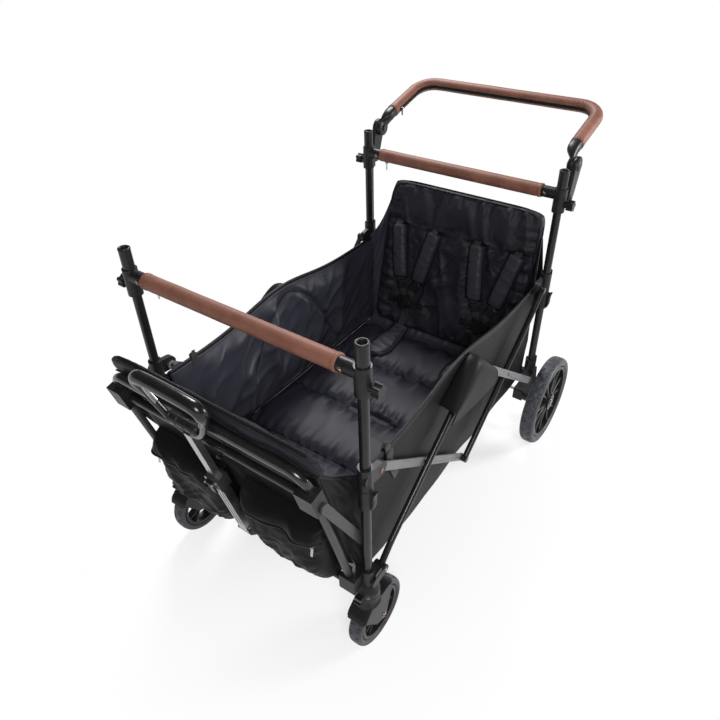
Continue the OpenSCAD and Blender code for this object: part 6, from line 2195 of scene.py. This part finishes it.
@dataclass
class Hardware:
    """Bolts, collar clips, post bushes, push hinges, the hook and the tie straps."""

    mids: tuple = ((-0.0570855, 0.262), (-0.0570855, 0.590))
    cross: tuple[float, float] = (0.151415, 0.426)
    pivots: tuple[float, float] = (-0.474085, 0.359915)
    pivot_heights: tuple[float, float] = (0.262, 0.590)
    bolt_x: float = 0.3332
    hinge: tuple[float, float] = (0.4679145, 0.921)
    hinge_foot: tuple[float, float] = (0.4459145, 0.840)
    hinge_radius: float = 0.0245
    foot_radius: float = 0.0178

    def build(self) -> None:
        """Makes each group of trim on the body that it moves with."""
        (front, rear), (low, high) = self.pivots, self.pivot_heights
        groups = {"front_tube_links": [(self.bolt_x, *self.mids[1])],
                  "rear_tube_links": [(self.bolt_x, *self.cross), (0.3256, *self.mids[0])],
                  "front_frame": [(self.bolt_x, front, low)], "rear_frame": [(self.bolt_x, rear, low)],
                  "front_sliders": [(0.3230, front, high)], "rear_sliders": [(0.3268, rear, high)]}
        for body, places in groups.items():
            heads = [self.bolt((s * x, y, z), (s, 0, 0)) for s in ENDS for x, y, z in places]
            piece(f"bolts_{body}", joined(heads), COPPER, "axle_steel", body, sharp=BOLT_EDGE)
        for end, y, body in (("front", FRONT_Y, "front_frame"), ("rear", REAR_Y, "rear_frame")):
            piece(f"{end}_collar_clips", pair(lambda s: self.clip(s, y)), BLACK, "black_plastic", body,
                  sharp=MOULDED_EDGE)
            piece(f"{end}_post_bushes", pair(lambda s: self.bush(s, y)), BLACK, "black_plastic", body, sharp=50)
            inner = [self.bolt((s * 0.271, y - 0.016, BAR_Z), (0, -1, 0), 0.0036) for s in ENDS]
            piece(f"{end}_clamp_bolts", joined(inner), COPPER, "axle_steel", body, sharp=BOLT_EDGE)
        for name, form, body, node in (
                ("push_hinge_shells", self.hinge_arm(), "push_handle", "push_hinge_arms"),
                ("push_hinge_feet", self.hinge_base(), "rear_frame", "push_hinge_bases")):
            piece(name, both_sides(form), BLACK, "black_plastic", body, [node], sharp=MOULDED_EDGE)
        piece("front_hook", self.hook(), BLACK, "black_plastic", "front_frame")
        ties = piece("side_ties", pair(self.tie), STRAP, "webbing")
        locks = piece("side_tie_buckles", pair(self.tie_buckle), BLACK, "black_plastic", sharp=MOULDED_EDGE)
        folds_away(ties, locks)

    @staticmethod
    def bolt(place: Numbers, way: Numbers, size: float = 0.0042) -> Form:
        """Domed bolt head with a washer and a socket, of a radius, on its seat and facing a way."""
        shape = [(0.0, 0.0), (1.35, 0.0), (1.35, 0.14), (1.0, 0.18), (0.96, 0.36), (0.80, 0.56), (0.46, 0.66),
                 (0.42, 0.40), (0.0, 0.38)]
        return lathe(np.array(shape) * size, place, way, 24)

    @staticmethod
    def clip(side: int, y: float) -> Form:
        """Lever clip on a lock collar: a curved plate with a thumb end."""
        line = curve_through([(side * 0.3275, y, 0.518), (side * 0.3310, y, 0.530), (side * 0.3315, y, 0.550),
                              (side * 0.3345, y, 0.566)], 20)
        return sweep(line, oblong(0.0150, 0.0050, 3.5, 16), (side, 0, 0.1))

    @staticmethod
    def bush(side: int, y: float) -> Form:
        """Bush in a post's open top: a rounded lip over a sleeve that lines the socket."""
        profile = [(0.0080, -0.030), (0.0080, -0.0030), (0.0086, 0.0002), (0.0100, 0.0014), (0.0122, 0.0014),
                   (0.0135, 0.0005), (0.0139, -0.0014), (0.0136, -0.0040), (0.0085, -0.0040), (0.0085, -0.030),
                   (0.0080, -0.030)]
        return lathe(profile, (side * POST_X, y, 0.928), UP, 40)

    def hinge_arm(self) -> Form:
        """Elbow from the handle's sleeve to the hinge: a round section that flattens into the hinge disc."""
        line = curve_through([(0.2940, 0.5110, 0.9619), (0.2940, 0.4980, 0.9586), (0.2948, 0.4868, 0.9530),
                              (0.2990, 0.4790, 0.9430), (0.3036, 0.4725, 0.9310), (0.3042, 0.4679, 0.9210)], 40)
        share = np.linspace(0, 1, len(line))
        flat = smooth((share - 0.30) / 0.55)
        size = stack(0.0165 - 0.0095 * flat, 0.0165 + 0.0035 * flat)
        size[0] *= 0.93
        arm = sweep(line, oblong(2.0, 2.0, 2.6, 32), (0.0, -0.7, 0.7), size)
        disc = [(0.0, 0.2970), (0.0205, 0.2970), (0.0228, 0.2985), (0.0230, 0.3005), (0.0230, 0.3090),
                (0.0222, 0.3112), (0.0, 0.3112)]
        return joined([arm, lathe(disc, (0.0, *self.hinge), ACROSS, 48)])

    def hinge_base(self) -> Form:
        """Foot of the hinge: a round-edged plate, the outline of two discs and their shared tangents."""
        low, high = np.array(self.hinge_foot), np.array(self.hinge)
        reach = np.linalg.norm(high - low)
        lean = math.atan2(*(high - low)[::-1])
        spread = math.acos((self.foot_radius - self.hinge_radius) / reach)
        top = np.linspace(-spread, spread, 28) + lean
        foot = np.linspace(spread, 2 * np.pi - spread, 20) + lean
        outline = [high + self.hinge_radius * np.array([math.cos(a), math.sin(a)]) for a in top]
        outline += [low + self.foot_radius * np.array([math.cos(a), math.sin(a)]) for a in foot]
        middle = (low + high) / 2
        flat = plate(np.array(outline) - middle, 0.0130, 0.0022)
        forms = [flat.moved((0.3118, *middle), SIDEWAYS)]
        for place, radius in ((self.hinge, 0.0150), (self.hinge_foot, 0.0085)):
            cap = [(0.0, 0.3240), (radius + 0.0004, 0.3240), (radius, 0.3262), (radius - 0.003, 0.3280), (0.0, 0.3280)]
            forms.append(lathe(cap, (0.0, *place), ACROSS, 40))
        return joined(forms)

    @staticmethod
    def hook() -> Form:
        """Bag hook under the front roll."""
        line = curve_through([(0.034, 0.002, 0.382), (0.034, -0.006, 0.372), (0.034, -0.009, 0.352),
                              (0.034, -0.020, 0.342), (0.034, -0.029, 0.350), (0.034, -0.030, 0.360)], 40)
        return tube(FRONT.world(line), 0.0036, ACROSS, 12)

    @staticmethod
    def tie(side: int) -> Form:
        """Tie strap: a loop at the rim and a tail that hangs outside."""
        x = side * 0.2988
        tail = curve_through([(x, -0.412, 0.577), (x, -0.408, 0.552), (x, -0.398, 0.520), (x, -0.380, 0.478)], 30)
        loop = curve_through([(side * 0.2860, -0.416, 0.560), (side * 0.2880, -0.416, 0.590),
                              (side * 0.2925, -0.415, 0.5985), (side * 0.2975, -0.414, 0.592), (x, -0.412, 0.570)],
                             30)
        return joined([sweep(tail, oblong(0.020, 0.0014, 5.0, 14), (side, 0, 0)),
                       sweep(loop, oblong(0.020, 0.0014, 5.0, 14), (side, 0, 0.35))])

    @staticmethod
    def tie_buckle(side: int) -> Form:
        """Side-release buckle on the tie strap."""
        return block((0.0058, 0.026, 0.030), 0.0020).moved((side * 0.2990, -0.411, 0.566))


# The whole wagon


def wheels() -> list[Wheel]:
    """The four wheels."""
    made = []
    for side in Side:
        name = side.label
        made.append(Wheel("rear", side, f"rear_wheel_{name}", (side.value * 0.368, 0.4299145, 0.150),
                          radius=0.150, width=0.046, rim_radius=0.123, hooks=26, spokes=6))
        made.append(Wheel("caster", side, f"caster_wheel_{name}", (side.value * POST_X, -0.4860855, 0.092),
                          radius=0.092, width=0.038, rim_radius=0.073, hooks=18, spokes=5))
    return made


def main() -> None:
    """Builds the wagon's dress in order."""
    logging.basicConfig(level=logging.INFO, format="%(name)s: %(message)s")
    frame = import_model()
    Studio().build()
    FrameFinishes().build(frame)
    for assembly in (SideWalls(), SeatFloorJoin(), FloorCushion(), SeatBack(), Harness(), FrontEnd(), FrontPockets(),
                     Grips(), PullHandle(), Hardware(), *wheels(), *(CasterFork(side) for side in Side)):
        assembly.build()


if __name__ == "__main__":
    main()
